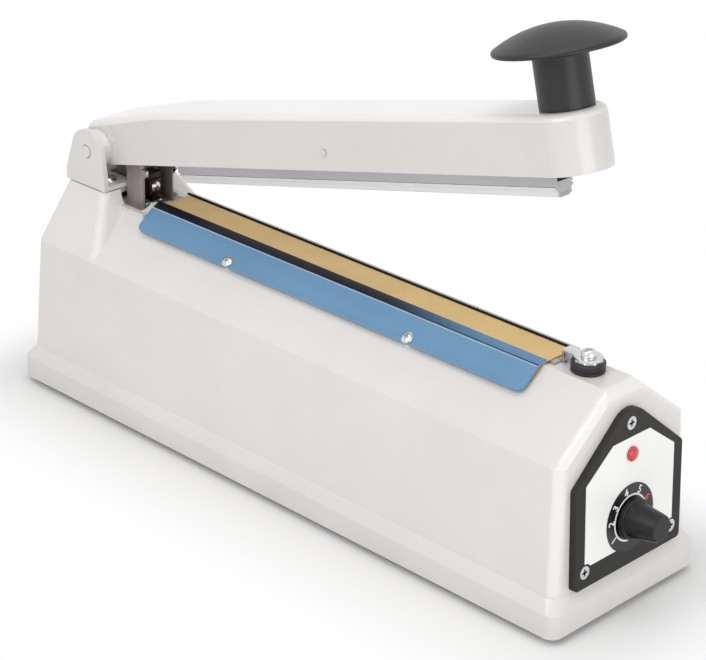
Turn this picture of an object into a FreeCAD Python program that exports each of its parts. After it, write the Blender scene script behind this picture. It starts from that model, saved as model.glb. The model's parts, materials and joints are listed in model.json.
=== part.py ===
"""Hand impulse sealer for 200 mm seals: cast housing, hinged arm with a pressure bar, and a timer panel.

Millimetres, +Z up. The housing lies along X with the arm's hinge at the -X end and the timer
panel at the +X end. The near side, which the blue cover plate faces, is -Y. The arm is modelled
raised, as it rests. The finished model is moved so that its origin is the centre of its base.
"""
import FreeCAD, Part
import math
import os
import re
import Sketcher

DOC = FreeCAD.newDocument("HandSealer")
SHEET = DOC.addObject("Spreadsheet::Sheet", "Sizes")
PROBE = DOC.addObject("Spreadsheet::Sheet", "Probe")
PARTS = []
X_AXIS = FreeCAD.Vector(1, 0, 0)
Y_AXIS = FreeCAD.Vector(0, 1, 0)
Z_AXIS = FreeCAD.Vector(0, 0, 1)
UPRIGHT = {
    "x": FreeCAD.Rotation(Y_AXIS, 90),
    "y": FreeCAD.Rotation(X_AXIS, -90),
    "z": FreeCAD.Rotation(),
}

SIZES = {
    # Housing casting
    "body_length": 320,
    "body_width": 88,
    "foot_height": 3,
    "skirt_height": 10,
    "bevel_height": 5,
    "bevel_inset": 3.5,
    "wall_rise": 52.5,
    "wall_lean": 2.7,
    "roof_rise": 22.5,
    "ridge_half": 8.5,
    "casting_wall": 2.5,
    "ridge_web": 5,
    "corner_round": 5,
    "ridge_end_round": 6,
    # Tower under the hinge
    "tower_length": 41.8,
    "tower_rise": 25.5,
    "tower_back_lean": 3.1,
    "tower_top_length": 26.2,
    "tower_top_half": 21.5,
    "tower_round": 4,
    "slot_half": 13,
    "slot_gap": 1.5,
    "slot_inset": 52,
    "slot_depth": 5,
    "slot_wall_rise": 1.8,
    "slot_round": 4,
    # Fits and ordinary gaps
    "running_gap": 0.05,
    "seat_gap": 0.1,
    "side_gap": 0.3,
    # Bottom plate, feet and their screws
    "plate_rebate": 3,
    "plate_rebate_depth": 1.5,
    "bottom_thickness": 1.2,
    "foot_inset": 15,
    "foot_radius": 7,
    "foot_recess": 1.8,
    "foot_taper": 0.8,
    "lug_half": 6,
    "lug_height": 14,
    "foot_screw_reach": 10,
    # Screw sizes used more than once
    "small_screw": 1.5,
    "small_head": 2.6,
    "small_head_height": 1.4,
    "large_screw": 2,
    "large_head": 3.6,
    "large_head_height": 2.2,
    # Hinge yoke and pin
    "yoke_sheet": 2.5,
    "ear_round": 10,
    "pin_lift": 16.8,
    "pin_setback": 14.4,
    "pin_radius": 3,
    "pin_head_radius": 3.75,
    "pin_overhang": 2,
    "clip_thickness": 0.8,
    "clip_radius": 5,
    "yoke_web_height": 10,
    "yoke_screw_row": 13.5,
    "yoke_screw_pitch": 12,
    "yoke_screw_back": 0.7,
    "yoke_nut_depth": 2,
    "ear_knee": 3,
    "clip_bite": 0.5,
    "clip_mouth_half": 2,
    "tail_slot_half": 5,
    "tail_slot_gap": 1,
    "tail_root": 7,
    # Arm casting, measured from the pin along and across the arm
    "arm_open": 14.33,
    "arm_half": 14.5,
    "arm_top": 15.5,
    "arm_bottom": 7.5,
    "arm_wall": 2.5,
    "arm_slope_start": 41,
    "arm_rear_top": 11.9,
    "arm_rear_edge": 3.8,
    "arm_hub_radius": 8.5,
    "arm_slope_drop": 4,
    "handle_boss_drop": 3,
    "handle_boss_radius": 8,
    "arm_top_round": 3,
    "hub_side_gap": 0.3,
    "bush_wall": 1.95,
    "bush_length": 10.5,
    "handle_inset": 54.9,
    "arm_rear_step": 1.6,
    "arm_rear_step_drop": 5.3,
    # Tail lever and micro switch
    "tail_length": 34,
    "tail_offset": 2,
    "tail_half": 4,
    "tail_thickness": 3,
    "tail_hole": 1.2,
    "tail_hole_up": 2.6,
    "switch_length": 12.8,
    "switch_depth": 6.5,
    "switch_height": 5.8,
    "switch_button_radius": 1.0,
    "switch_button_deep": 2,
    "switch_button_out": 1.5,
    "switch_travel": 1.0,
    "switch_press_gap": 0.1,
    "switch_screw": 1.1,
    "switch_screw_row": 3.3,
    # Return spring
    "spring_radius": 2.8,
    "spring_wire": 0.35,
    "spring_turns": 14,
    "spring_leg": 5,
    "spring_loop_gap": 0.25,
    "stud_inset": 76,
    "stud_radius": 2,
    "stud_reach": 6,
    "stud_boss_height": 3,
    "stud_boss_radius": 5,
    # Handle
    "stem_radius": 10.5,
    "stem_height": 21.9,
    "grip_radius": 25,
    "grip_dome": 7.2,
    "grip_rim": 2,
    "stem_flare": 3,
    "handle_bolt": 3,
    "handle_bolt_head": 5,
    "handle_bolt_head_height": 3.5,
    "handle_bolt_reach": 14,
    # Pressure bar
    "bar_start": 41,
    "bar_nose_gap": 6.9,
    "bar_half": 5.1,
    "bar_top": 5,
    "bar_groove_top": 13.2,
    "bar_groove_bottom": 13.9,
    "bar_groove_depth": 0.8,
    "bar_shelf": 15,
    "bar_flange_half": 3.9,
    "bar_bottom": 17.5,
    "bar_web": 1.7,
    "bar_floor": 12,
    "silicone_half": 2.5,
    "silicone_depth": 1.2,
    "silicone_out": 0.5,
    "bar_pivot_back": 3.1,
    "bar_pin_radius": 1.5,
    "bar_pin_overhang": 0.5,
    "saddle_half_length": 18,
    "saddle_width": 6.6,
    "saddle_eye": 5,
    "saddle_rivet_offset": 12,
    "saddle_rivet_drop": 8.5,
    "saddle_rivet_radius": 1.4,
    "pin_boss_radius": 4,
    # Seal stack on the ridge
    "seal_gap": 0.6,
    "cloth_rear_inset": 59,
    "cloth_front_inset": 40.2,
    "cloth_lay": 0.12,
    "cloth_thickness": 0.3,
    "cloth_drop": 8,
    "element_half": 1.5,
    "element_thickness": 0.2,
    "insulation_half": 5,
    "insulation_thickness": 0.3,
    "bed_half": 6,
    "bed_sunk": 2.5,
    "bed_margin": 2.5,
    "bed_screw_inset": 32.9,
    # Cover plates
    "cover_rear_inset": 57,
    "cover_front_inset": 40.5,
    "cover_sheet": 1.2,
    "cover_standoff": 1.45,
    "cover_seat_radius": 2.4,
    "cover_bend_drop": 2.4,
    "cover_drop": 15,
    "cover_lip_rise": 1.2,
    "cover_lip_run": 3.1,
    "cover_lip_bend": 16.5,
    "cover_corner": 3.5,
    "cover_screw_drop": 12.6,
    "cover_screw_inset": 114.5,
    "cover_screw_pitch": 104.8,
    # Front terminal
    "terminal_inset": 26,
    "terminal_radius": 6.8,
    "terminal_height": 5,
    "terminal_spigot": 3.6,
    "clamp_thickness": 1,
    "clamp_flat": 5.4,
    "clamp_tab_half": 2.6,
    "clamp_tab_reach": 11,
    "terminal_bolt": 2,
    "terminal_head": 3.4,
    "terminal_head_height": 2.4,
    "terminal_bolt_drop": 14,
    "nut_across": 3.5,
    "nut_height": 3,
    # Rear terminal and its guard
    "guard_sheet": 1.5,
    "guard_half": 9.5,
    "guard_length": 11.5,
    "guard_top": 116,
    "guard_tab_low": 104,
    "guard_tab_height": 3.5,
    "guard_tab_out": 2.5,
    "guard_screw_back": 3.2,
    "guard_screw_row": 4.5,
    "block_half": 7.2,
    "block_length": 6.6,
    "block_height": 13,
    "rear_screw_height": 96.7,
    "lug_thickness": 0.8,
    "lug_strap_half": 3.2,
    # Timer panel, measured on the end wall
    "panel_thickness": 3,
    "panel_half": 32,
    "panel_low": 1,
    "panel_side_top": 43,
    "panel_apex": 69.9,
    "panel_apex_round": 10.8,
    "panel_corner": 2,
    "panel_screw_row": 26.2,
    "panel_screw_low": 7.7,
    "panel_screw_high": 60.8,
    "panel_screw_head": 2.7,
    "label_thickness": 0.2,
    "label_half": 26.5,
    "label_low": 9.8,
    "label_side_top": 43.6,
    "label_top_half": 11,
    "label_top": 55.1,
    "label_notch": 3.6,
    "lamp_height": 48.3,
    "lamp_radius": 3,
    "lamp_out": 2.2,
    "lamp_flange": 3.9,
    "lamp_flange_height": 0.8,
    "lamp_body_radius": 4,
    "lamp_body_length": 14,
    "dial_height": 21.4,
    "dial_radius": 14,
    "dial_thickness": 0.3,
    "knob_gap": 0.5,
    "knob_skirt_radius": 8.6,
    "knob_skirt_height": 2.5,
    "knob_base_radius": 7.3,
    "knob_face_radius": 5.4,
    "knob_length": 14.5,
    "knob_flutes": 12,
    "knob_flute_radius": 1.0,
    "shaft_radius": 3,
    "shaft_in_knob": 10,
    "pot_bushing_radius": 3.5,
    "pot_nut_across": 5,
    "pot_nut_height": 1.2,
    "pot_body_radius": 8.2,
    "pot_body_length": 9,
    "pot_shaft_deep": 5,
    # Circuit board
    "board_thickness": 1.6,
    "board_half": 24,
    "board_low": 4,
    "board_high": 60,
    "board_gap": 0.3,
    "relay_depth": 15,
    "relay_width": 15,
    "relay_length": 19,
    "capacitor_radius": 5,
    "capacitor_length": 20,
    "device_depth": 4.5,
    # Transformer
    "core_inset": 120,
    "core_length": 66,
    "core_height": 55,
    "core_depth": 36,
    "core_limb": 11,
    "window_height": 33,
    "coil_wall": 9,
    "strap_sheet": 1.2,
    "strap_foot": 10,
    # Inlet for the mains lead
    "gland_height": 32,
    "gland_bore": 3.6,
    "gland_barrel": 6,
    "gland_hex": 8,
    "gland_hex_height": 5,
    "gland_cap": 6.8,
    "gland_cap_height": 8,
    "gland_nut_height": 3,
}

DERIVED = {
    "half_length": "body_length / 2",
    "half_width": "body_width / 2",
    "slot_front": "half_length - slot_inset",
    "stud_x": "half_length - stud_inset",
    "cloth_start": "half_length - cloth_rear_inset",
    "cloth_end": "half_length - cloth_front_inset",
    "cover_start": "half_length - cover_rear_inset",
    "cover_end": "half_length - cover_front_inset",
    "cover_screw_first": "-half_length + cover_screw_inset",
    "terminal_x": "half_length - terminal_inset",
    "core_x": "half_length - core_inset",
    "handle_reach": "body_length - handle_inset",
    "bar_end": "handle_reach - bar_nose_gap",
    "bar_pivot_reach": "(bar_start + bar_end) / 2 - bar_pivot_back",
    "wall_foot_x": "half_length - bevel_inset",
    "wall_foot_y": "half_width - bevel_inset",
    "shoulder_x": "wall_foot_x - wall_lean",
    "shoulder_y": "wall_foot_y - wall_lean",
    "skirt_top": "foot_height + skirt_height",
    "wall_foot": "skirt_top + bevel_height",
    "shoulder": "wall_foot + wall_rise",
    "ridge": "shoulder + roof_rise",
    "ridge_x": "shoulder_x - wall_lean * roof_rise / wall_rise",
    "roof_angle": "atan(roof_rise / (shoulder_y - ridge_half))",
    "panel_tilt": "atan(wall_lean / wall_rise)",
    "tower_top": "shoulder + tower_rise",
    "tower_back": "-shoulder_x + tower_back_lean",
    "tower_front": "tower_back + tower_top_length",
    "tower_base_front": "-shoulder_x + tower_length",
    "pin_x": "tower_back + pin_setback",
    "yoke_screw_x": "pin_x - yoke_screw_back",
    "pin_z": "tower_top + pin_lift",
    "slot_back": "tower_front - slot_gap",
    "slot_level": "ridge - slot_depth",
    "guard_back": "tower_front + 2 * seat_gap",
    "guard_front": "guard_back + guard_length",
    "block_back": "guard_back + guard_sheet + seat_gap",
    "block_front": "block_back + block_length",
    "tail_back": "pin_x - tail_offset - tail_thickness / 2",
    "hook_reach": "tail_length - tail_hole_up + tail_hole + spring_wire",
    "hook_x": "pin_x - tail_offset * cos(arm_open * 1deg) + hook_reach * sin(arm_open * 1deg)",
    "hook_z": "pin_z - tail_offset * sin(arm_open * 1deg) - hook_reach * cos(arm_open * 1deg)",
    "switch_front": "tail_back - switch_press_gap - switch_button_out + switch_travel",
    "switch_centre": "switch_front - switch_depth / 2 - 0.5",
    "inner_x": "wall_foot_x - casting_wall",
    "inner_y": "wall_foot_y - casting_wall",
    "inner_shoulder": "shoulder - casting_wall * (1 - sin(roof_angle)) / cos(roof_angle)",
    "inner_ridge": "ridge - ridge_web",
    "inner_ridge_half": "ridge_half + ridge_web / tan(roof_angle) - casting_wall / sin(roof_angle)",
    "tower_angle": "atan(tower_rise / (shoulder_y - tower_top_half))",
    "tower_room_half": "tower_top_half + casting_wall / tan(tower_angle) - casting_wall / sin(tower_angle)",
    "stud_low": "inner_ridge - stud_boss_height",
    "bed_bottom": "ridge - bed_sunk",
    "bed_start": "-cloth_start - bed_margin",
    "bed_end": "cloth_end + bed_margin",
    "bed_middle": "(bed_start + bed_end) / 2",
    "bed_screw_pitch": "(bed_end - bed_start) / 2 - bed_screw_inset",
    "lug_reach": "cloth_start + bed_margin + 0.5",
    "bar_face": "pin_z - bar_bottom - silicone_out",
    "cloth_top": "bar_face - seal_gap",
    "cloth_bottom": "cloth_top - cloth_thickness",
    "element_bottom": "cloth_bottom - element_thickness",
    "bed_top": "element_bottom - insulation_thickness",
    "plate_top": "foot_height + plate_rebate_depth",
    "plate_bottom": "plate_top - bottom_thickness",
    "foot_x": "half_length - foot_inset",
    "foot_y": "half_width - foot_inset",
    "ear_outer": "tower_top_half",
    "ear_inner": "tower_top_half - yoke_sheet",
    "yoke_floor": "tower_top + yoke_sheet",
    "bush_radius": "pin_radius + running_gap + bush_wall",
    "hub_half": "ear_inner - hub_side_gap",
    "panel_face": "panel_thickness",
    "label_face": "panel_face + label_thickness",
    "dial_face": "label_face + dial_thickness",
    "knob_back": "dial_face + knob_gap",
    "cover_lip_angle": "cover_lip_bend * 1deg",
    "cover_lip_length": "hypot(cover_lip_run; cover_lip_rise)",
    "cloth_edge": "ridge - cloth_drop * tan(roof_angle)",
    "pot_front": "-casting_wall - seat_gap",
    "board_face": "pot_front - pot_body_length - board_gap",
}


def bound(text):
    """Formula text with every size name joined to the sheet it lives in."""
    def joined(match):
        word = match.group()
        return "Sizes." + word if word in SIZES or word in DERIVED else word
    return re.sub(r"[a-z_][a-z_0-9]*", joined, str(text))


def number(text):
    """Present value of a formula of named sizes."""
    PROBE.set("A1", "=" + bound(text))
    PROBE.recompute()
    return float(getattr(PROBE.A1, "Value", PROBE.A1))


def fill_sheet():
    """Writes the sizes as plain numbers, then the ones worked out from them."""
    row = 1
    for alias, value in SIZES.items():
        SHEET.set("A%d" % row, alias)
        SHEET.set("B%d" % row, str(value))
        SHEET.setAlias("B%d" % row, alias)
        row += 1
    for alias, formula in DERIVED.items():
        SHEET.set("A%d" % row, alias)
        SHEET.set("B%d" % row, "=" + formula)
        SHEET.setAlias("B%d" % row, alias)
        row += 1
    DOC.recompute()


# Frames that sub-parts are built in: where each lies, the axis it turns about and how far
FRAMES = {
    "arm": (("pin_x", "0", "pin_z"), Y_AXIS, "-arm_open * 1deg"),
    "panel": (("wall_foot_x", "0", "wall_foot"), Y_AXIS, "-panel_tilt"),
    "rear": (("-wall_foot_x", "0", "wall_foot"), Y_AXIS, "panel_tilt"),
    "near_slope": (("0", "-ridge_half", "ridge"), X_AXIS, "roof_angle"),
    "far_slope": (("0", "ridge_half", "ridge"), X_AXIS, "-roof_angle"),
}


def put_in(frame, thing):
    """Places a thing that was modelled in one of the frames."""
    origin, axis, angle = FRAMES[frame]
    thing.Placement = FreeCAD.Placement(FreeCAD.Vector(), FreeCAD.Rotation(axis, 1))
    for letter, text in zip("xyz", origin):
        thing.setExpression("Placement.Base." + letter, bound(text))
    thing.setExpression("Placement.Rotation.Angle", bound(angle))
    return thing


def keep(thing, label, frame=None):
    """Lists a finished sub-part under the label that names its file."""
    thing.Label = label
    if frame:
        put_in(frame, thing)
    PARTS.append(thing)
    return thing


# Plain solids bound to the sheet

def box(name, x, y, z):
    """Block between two formulas along each axis."""
    solid = DOC.addObject("Part::Box", name)
    for (low, high), size, letter in zip((x, y, z), ("Length", "Width", "Height"), "xyz"):
        solid.setExpression(size, bound("(%s) - (%s)" % (high, low)))
        solid.setExpression("Placement.Base." + letter, bound(low))
    return solid


def rod(name, axis, radius, low, high, first="0", second="0"):
    """Cylinder along an axis from low to high; first and second are its other two coordinates."""
    solid = DOC.addObject("Part::Cylinder", name)
    solid.Placement = FreeCAD.Placement(FreeCAD.Vector(), UPRIGHT[axis])
    others = iter((first, second))
    for letter in "xyz":
        text = low if letter == axis else next(others)
        solid.setExpression("Placement.Base." + letter, bound(text))
    solid.setExpression("Radius", bound(radius))
    solid.setExpression("Height", bound("(%s) - (%s)" % (high, low)))
    return solid


def cone(name, axis, low_radius, high_radius, low, high, first="0", second="0"):
    """Cone frustum along an axis, placed as a rod is."""
    solid = DOC.addObject("Part::Cone", name)
    solid.Placement = FreeCAD.Placement(FreeCAD.Vector(), UPRIGHT[axis])
    others = iter((first, second))
    for letter in "xyz":
        text = low if letter == axis else next(others)
        solid.setExpression("Placement.Base." + letter, bound(text))
    solid.setExpression("Radius1", bound(low_radius))
    solid.setExpression("Radius2", bound(high_radius))
    solid.setExpression("Height", bound("(%s) - (%s)" % (high, low)))
    return solid


def prism(name, axis, flat_radius, low, high, first="0", second="0", sides=6):
    """Hexagonal or octagonal bar along an axis, sized by the distance from its centre to a flat."""
    solid = DOC.addObject("Part::Prism", name)
    solid.Polygon = sides
    solid.Placement = FreeCAD.Placement(FreeCAD.Vector(), UPRIGHT[axis])
    others = iter((first, second))
    for letter in "xyz":
        text = low if letter == axis else next(others)
        solid.setExpression("Placement.Base." + letter, bound(text))
    solid.setExpression("Circumradius", bound("(%s) / cos(180deg / %d)" % (flat_radius, sides)))
    solid.setExpression("Height", bound("(%s) - (%s)" % (high, low)))
    return solid


def fuse(name, *solids):
    """Union of solids that make one piece."""
    result = DOC.addObject("Part::MultiFuse", name)
    result.Shapes = list(solids)
    result.Refine = True
    return result


def cut(name, base, *tools):
    """Piece with holes or slots taken out."""
    result = DOC.addObject("Part::Cut", name)
    result.Base = base
    result.Tool = tools[0] if len(tools) == 1 else group(name + "_tools", *tools)
    result.Refine = True
    return result


def group(name, *solids):
    """Separate solids that are kept together."""
    result = DOC.addObject("Part::Compound", name)
    result.Links = list(solids)
    return result


def screw(name, axis, head_low, head_high, tip, head_radius, shank_radius, first="0", second="0"):
    """Screw whose head lies between two levels and whose shank runs on to the tip."""
    low, high = (tip, head_low) if number(tip) < number(head_low) else (head_high, tip)
    head = rod(name + "_head", axis, head_radius, head_low, head_high, first, second)
    shank = rod(name + "_shank", axis, shank_radius, low, high, first, second)
    return fuse(name, head, shank)


# Sketches and the features drawn from them

def new_body(name):
    body = DOC.addObject("PartDesign::Body", name)
    body.AllowCompound = True
    return body


def new_sketch(body, name, plane, level="0"):
    """Sketch on one of the body's origin planes, or at a level above it along the plane's normal."""
    sketch = body.newObject("Sketcher::SketchObject", name)
    support = [part for part in body.Origin.OriginFeatures if part.Role == plane][0]
    sketch.AttachmentSupport = [(support, "")]
    sketch.MapMode = "FlatFace"
    sketch.setExpression("AttachmentOffset.Base.z", bound(level))
    return sketch


def tie(sketch, geometry, end, across, up):
    """Holds a point of the sketch at two formulas."""
    for kind, text in (("DistanceX", across), ("DistanceY", up)):
        index = sketch.addConstraint(Sketcher.Constraint(kind, -1, 1, geometry, end, number(text)))
        sketch.setExpression("Constraints[%d]" % index, bound(text))


def outline(sketch, corners):
    """Closed outline through corners (across, up) or (across, up, radius), listed anticlockwise."""
    points = [FreeCAD.Vector(number(corner[0]), number(corner[1])) for corner in corners]
    count = len(corners)
    radii = [number(corner[2]) if len(corner) > 2 else 0 for corner in corners]
    entry, leave, turns = [], [], []
    for i in range(count):
        into = (points[i] - points[i - 1]).normalize()
        away = (points[(i + 1) % count] - points[i]).normalize()
        turn = math.atan2(into.x * away.y - into.y * away.x, into.dot(away))
        reach = radii[i] * math.tan(abs(turn) / 2)
        entry.append(points[i] - into * reach)
        leave.append(points[i] + away * reach)
        turns.append(turn)
    lines = [sketch.addGeometry(Part.LineSegment(leave[i], entry[(i + 1) % count])) for i in range(count)]
    for i, corner in enumerate(corners):
        before = lines[i - 1]
        after = lines[i]
        if not radii[i]:
            sketch.addConstraint(Sketcher.Constraint("Coincident", before, 2, after, 1))
            tie(sketch, after, 1, corner[0], corner[1])
            continue
        side = 1 if turns[i] > 0 else -1
        away = (points[(i + 1) % count] - points[i]).normalize()
        centre = leave[i] + FreeCAD.Vector(-away.y, away.x) * (radii[i] * side)
        first, last = (entry[i], leave[i]) if side > 0 else (leave[i], entry[i])
        begin = math.atan2(first.y - centre.y, first.x - centre.x)
        finish = math.atan2(last.y - centre.y, last.x - centre.x)
        if finish < begin:
            finish += 2 * math.pi
        circle = Part.Circle(centre, Z_AXIS, radii[i])
        arc = sketch.addGeometry(Part.ArcOfCircle(circle, begin, finish))
        start_end, stop_end = (1, 2) if side > 0 else (2, 1)
        sketch.addConstraint(Sketcher.Constraint("Tangent", before, 2, arc, start_end))
        sketch.addConstraint(Sketcher.Constraint("Tangent", arc, stop_end, after, 1))
        index = sketch.addConstraint(Sketcher.Constraint("Radius", arc, radii[i]))
        sketch.setExpression("Constraints[%d]" % index, bound(corner[2]))
        vertex = sketch.addGeometry(Part.Point(points[i]), True)
        tie(sketch, vertex, 1, corner[0], corner[1])
        sketch.addConstraint(Sketcher.Constraint("PointOnObject", vertex, 1, before))
        sketch.addConstraint(Sketcher.Constraint("PointOnObject", vertex, 1, after))
    return sketch


def circle(sketch, radius, across="0", up="0"):
    """Full circle held at its centre."""
    centre = FreeCAD.Vector(number(across), number(up))
    index = sketch.addGeometry(Part.Circle(centre, Z_AXIS, number(radius)))
    tie(sketch, index, 3, across, up)
    size = sketch.addConstraint(Sketcher.Constraint("Radius", index, number(radius)))
    sketch.setExpression("Constraints[%d]" % size, bound(radius))
    return sketch


def rectangle(sketch, across, up, radius=None):
    """Rectangle between two formulas each way, with rounded corners where a radius is given."""
    corners = [(across[0], up[0]), (across[1], up[0]), (across[1], up[1]), (across[0], up[1])]
    if radius:
        corners = [corner + (radius,) for corner in corners]
    return outline(sketch, corners)


def pad(body, sketch, length, symmetric=False):
    feature = body.newObject("PartDesign::Pad", sketch.Name + "_pad")
    feature.Profile = sketch
    feature.setExpression("Length", bound(length))
    feature.Midplane = symmetric
    return feature


def pocket(body, sketch, length, symmetric=False, outward=False):
    """Cuts from the sketch against its plane's normal, or along it where outward is set."""
    DOC.recompute()
    before = body.Shape.Volume
    feature = body.newObject("PartDesign::Pocket", sketch.Name + "_pocket")
    feature.Profile = sketch
    feature.setExpression("Length", bound(length))
    feature.Midplane = symmetric
    feature.Reversed = outward
    DOC.recompute()
    if not body.Shape.Volume < before - 1e-3:
        raise RuntimeError(sketch.Name + " cuts nothing")
    return feature


def loft(body, lower, upper, cutting=False):
    """Straight-sided loft between two sketches."""
    kind = "PartDesign::SubtractiveLoft" if cutting else "PartDesign::AdditiveLoft"
    feature = body.newObject(kind, upper.Name + "_loft")
    feature.Profile = lower
    feature.Sections = [upper]
    feature.Ruled = True
    return feature


def fillet(body, radius, wanted):
    """Rounds the edges of the body's last feature that the test picks."""
    DOC.recompute()
    base = body.Tip
    edges = ["Edge%d" % (i + 1) for i, edge in enumerate(base.Shape.Edges) if wanted(edge)]
    feature = body.newObject("PartDesign::Fillet", "%s_round_%d" % (body.Name, len(body.Group)))
    feature.Base = (base, edges)
    feature.setExpression("Radius", bound(radius))
    return feature

# Housing

SIGNS = (-1, 1)
CORNERS = [(end, side) for end in SIGNS for side in SIGNS]


def level_rectangle(body, name, level, half_x, half_y, radius, back=None):
    """Rounded rectangle at a level, centred across and reaching from back, or -half_x, to half_x."""
    sketch = new_sketch(body, name, "XY_Plane", level)
    across = (back or "-(%s)" % half_x, half_x)
    return rectangle(sketch, across, ("-(%s)" % half_y, half_y), radius)


def outer_form(body):
    """Skirt, leaning walls, roof with a flat ridge, and the tower under the hinge."""
    skirt = level_rectangle(body, "skirt", "foot_height", "half_length", "half_width", "corner_round")
    pad(body, skirt, "skirt_height")
    low = level_rectangle(body, "bevel", "skirt_top", "half_length", "half_width", "corner_round")
    high = level_rectangle(body, "wall_base", "wall_foot", "wall_foot_x", "wall_foot_y", "corner_round")
    loft(body, low, high)
    low = level_rectangle(body, "wall_low", "wall_foot", "wall_foot_x", "wall_foot_y", "corner_round")
    high = level_rectangle(body, "wall_high", "shoulder", "shoulder_x", "shoulder_y", "corner_round")
    loft(body, low, high)
    roof_back = "-shoulder_x + tower_length / 2"
    low = level_rectangle(body, "eaves", "shoulder", "shoulder_x", "shoulder_y", "corner_round", roof_back)
    high = level_rectangle(body, "crest", "ridge", "ridge_x", "ridge_half", "corner_round", roof_back)
    loft(body, low, high)
    low = level_rectangle(body, "tower_low", "shoulder", "tower_base_front", "shoulder_y",
                          "corner_round", "-shoulder_x")
    high = level_rectangle(body, "tower_high", "tower_top", "tower_front", "tower_top_half",
                           "tower_round", "tower_back")
    loft(body, low, high)
    end = new_sketch(body, "ridge_end", "XZ_Plane")
    depth = "2 * ridge_end_round"
    outline(end, [("ridge_x - " + depth, "ridge"), ("ridge_x", "ridge", "ridge_end_round"),
                  ("ridge_x + %s * wall_lean / wall_rise" % depth, "ridge - " + depth),
                  ("ridge_x + " + depth, "ridge - " + depth), ("ridge_x + " + depth, "ridge + " + depth),
                  ("ridge_x - " + depth, "ridge + " + depth)])
    pocket(body, end, "body_width", symmetric=True)


def hollow(body):
    """Takes out the inside in the same steps as the outside, one wall thickness in."""
    inner_round = "corner_round - casting_wall"
    low = level_rectangle(body, "rebate", "foot_height", "half_length - plate_rebate",
                          "half_width - plate_rebate", inner_round)
    pocket(body, low, "plate_rebate_depth", outward=True)
    low = level_rectangle(body, "room", "plate_top", "inner_x", "inner_y", inner_round)
    pocket(body, low, "wall_foot - plate_top", outward=True)
    low = level_rectangle(body, "room_base", "wall_foot", "inner_x", "inner_y", inner_round)
    high = level_rectangle(body, "room_top", "inner_shoulder", "shoulder_x - casting_wall",
                           "shoulder_y - casting_wall", inner_round)
    loft(body, low, high, cutting=True)
    low = level_rectangle(body, "attic_base", "inner_shoulder", "shoulder_x - casting_wall",
                          "shoulder_y - casting_wall", inner_round)
    high = level_rectangle(body, "attic_top", "inner_ridge", "ridge_x - casting_wall - ridge_end_round / 2",
                           "inner_ridge_half", inner_round)
    loft(body, low, high, cutting=True)
    low = level_rectangle(body, "tower_room_low", "inner_shoulder", "tower_base_front - casting_wall / 2",
                          "shoulder_y - casting_wall", inner_round, "-shoulder_x + casting_wall")
    high = level_rectangle(body, "tower_room_high", "tower_top - casting_wall",
                           "tower_front - casting_wall / 2", "tower_room_half",
                           "tower_round - casting_wall", "tower_back + casting_wall")
    loft(body, low, high, cutting=True)


def top_openings(body):
    """Slot for the guard in front of the tower, opening for the arm's tail and groove for the bed."""
    floor = new_sketch(body, "slot_floor", "XY_Plane", "slot_level - casting_wall")
    rectangle(floor, ("slot_back - casting_wall", "-slot_front + casting_wall"),
              ("-slot_half - casting_wall", "slot_half + casting_wall"))
    pad(body, floor, "casting_wall + slot_wall_rise")
    slot = new_sketch(body, "guard_slot", "XY_Plane", "slot_level")
    rectangle(slot, ("slot_back", "-slot_front"), ("-slot_half", "slot_half"), "slot_round")
    pocket(body, slot, "tower_rise", outward=True)
    opening = new_sketch(body, "tail_opening", "XY_Plane", "slot_level")
    rectangle(opening, ("tail_back - tail_slot_gap", "slot_back - casting_wall"),
              ("-tail_slot_half", "tail_slot_half"))
    pocket(body, opening, "tower_rise", outward=True)
    groove = new_sketch(body, "bed_groove", "XY_Plane", "bed_bottom")
    rectangle(groove, ("-slot_front - casting_wall", "bed_end + seat_gap"),
              ("-bed_half - seat_gap", "bed_half + seat_gap"))
    pocket(body, groove, "tower_rise", outward=True)


def housing_lugs():
    """Corner lugs that the foot screws reach into."""
    lugs = []
    for end, side in CORNERS:
        x = sorted(("%d * (inner_x + casting_wall / 2)" % end, "%d * (foot_x - lug_half)" % end), key=number)
        y = sorted(("%d * (inner_y + casting_wall / 2)" % side, "%d * (foot_y - lug_half)" % side), key=number)
        lugs.append(box("lug", x, y, ("plate_top", "plate_top + lug_height")))
    return lugs


def cover_seats():
    """Low round seats on both slopes that the cover plates are screwed down on."""
    seats = []
    for frame, side in (("near_slope", -1), ("far_slope", 1)):
        for x in cover_screw_places():
            seat = rod("cover_seat", "z", "cover_seat_radius", "-casting_wall / 2",
                       "cover_standoff - seat_gap", x, "%d * cover_screw_drop" % side)
            seats.append(put_in(frame, group("cover_seat_moved", seat)))
    return seats


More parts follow.
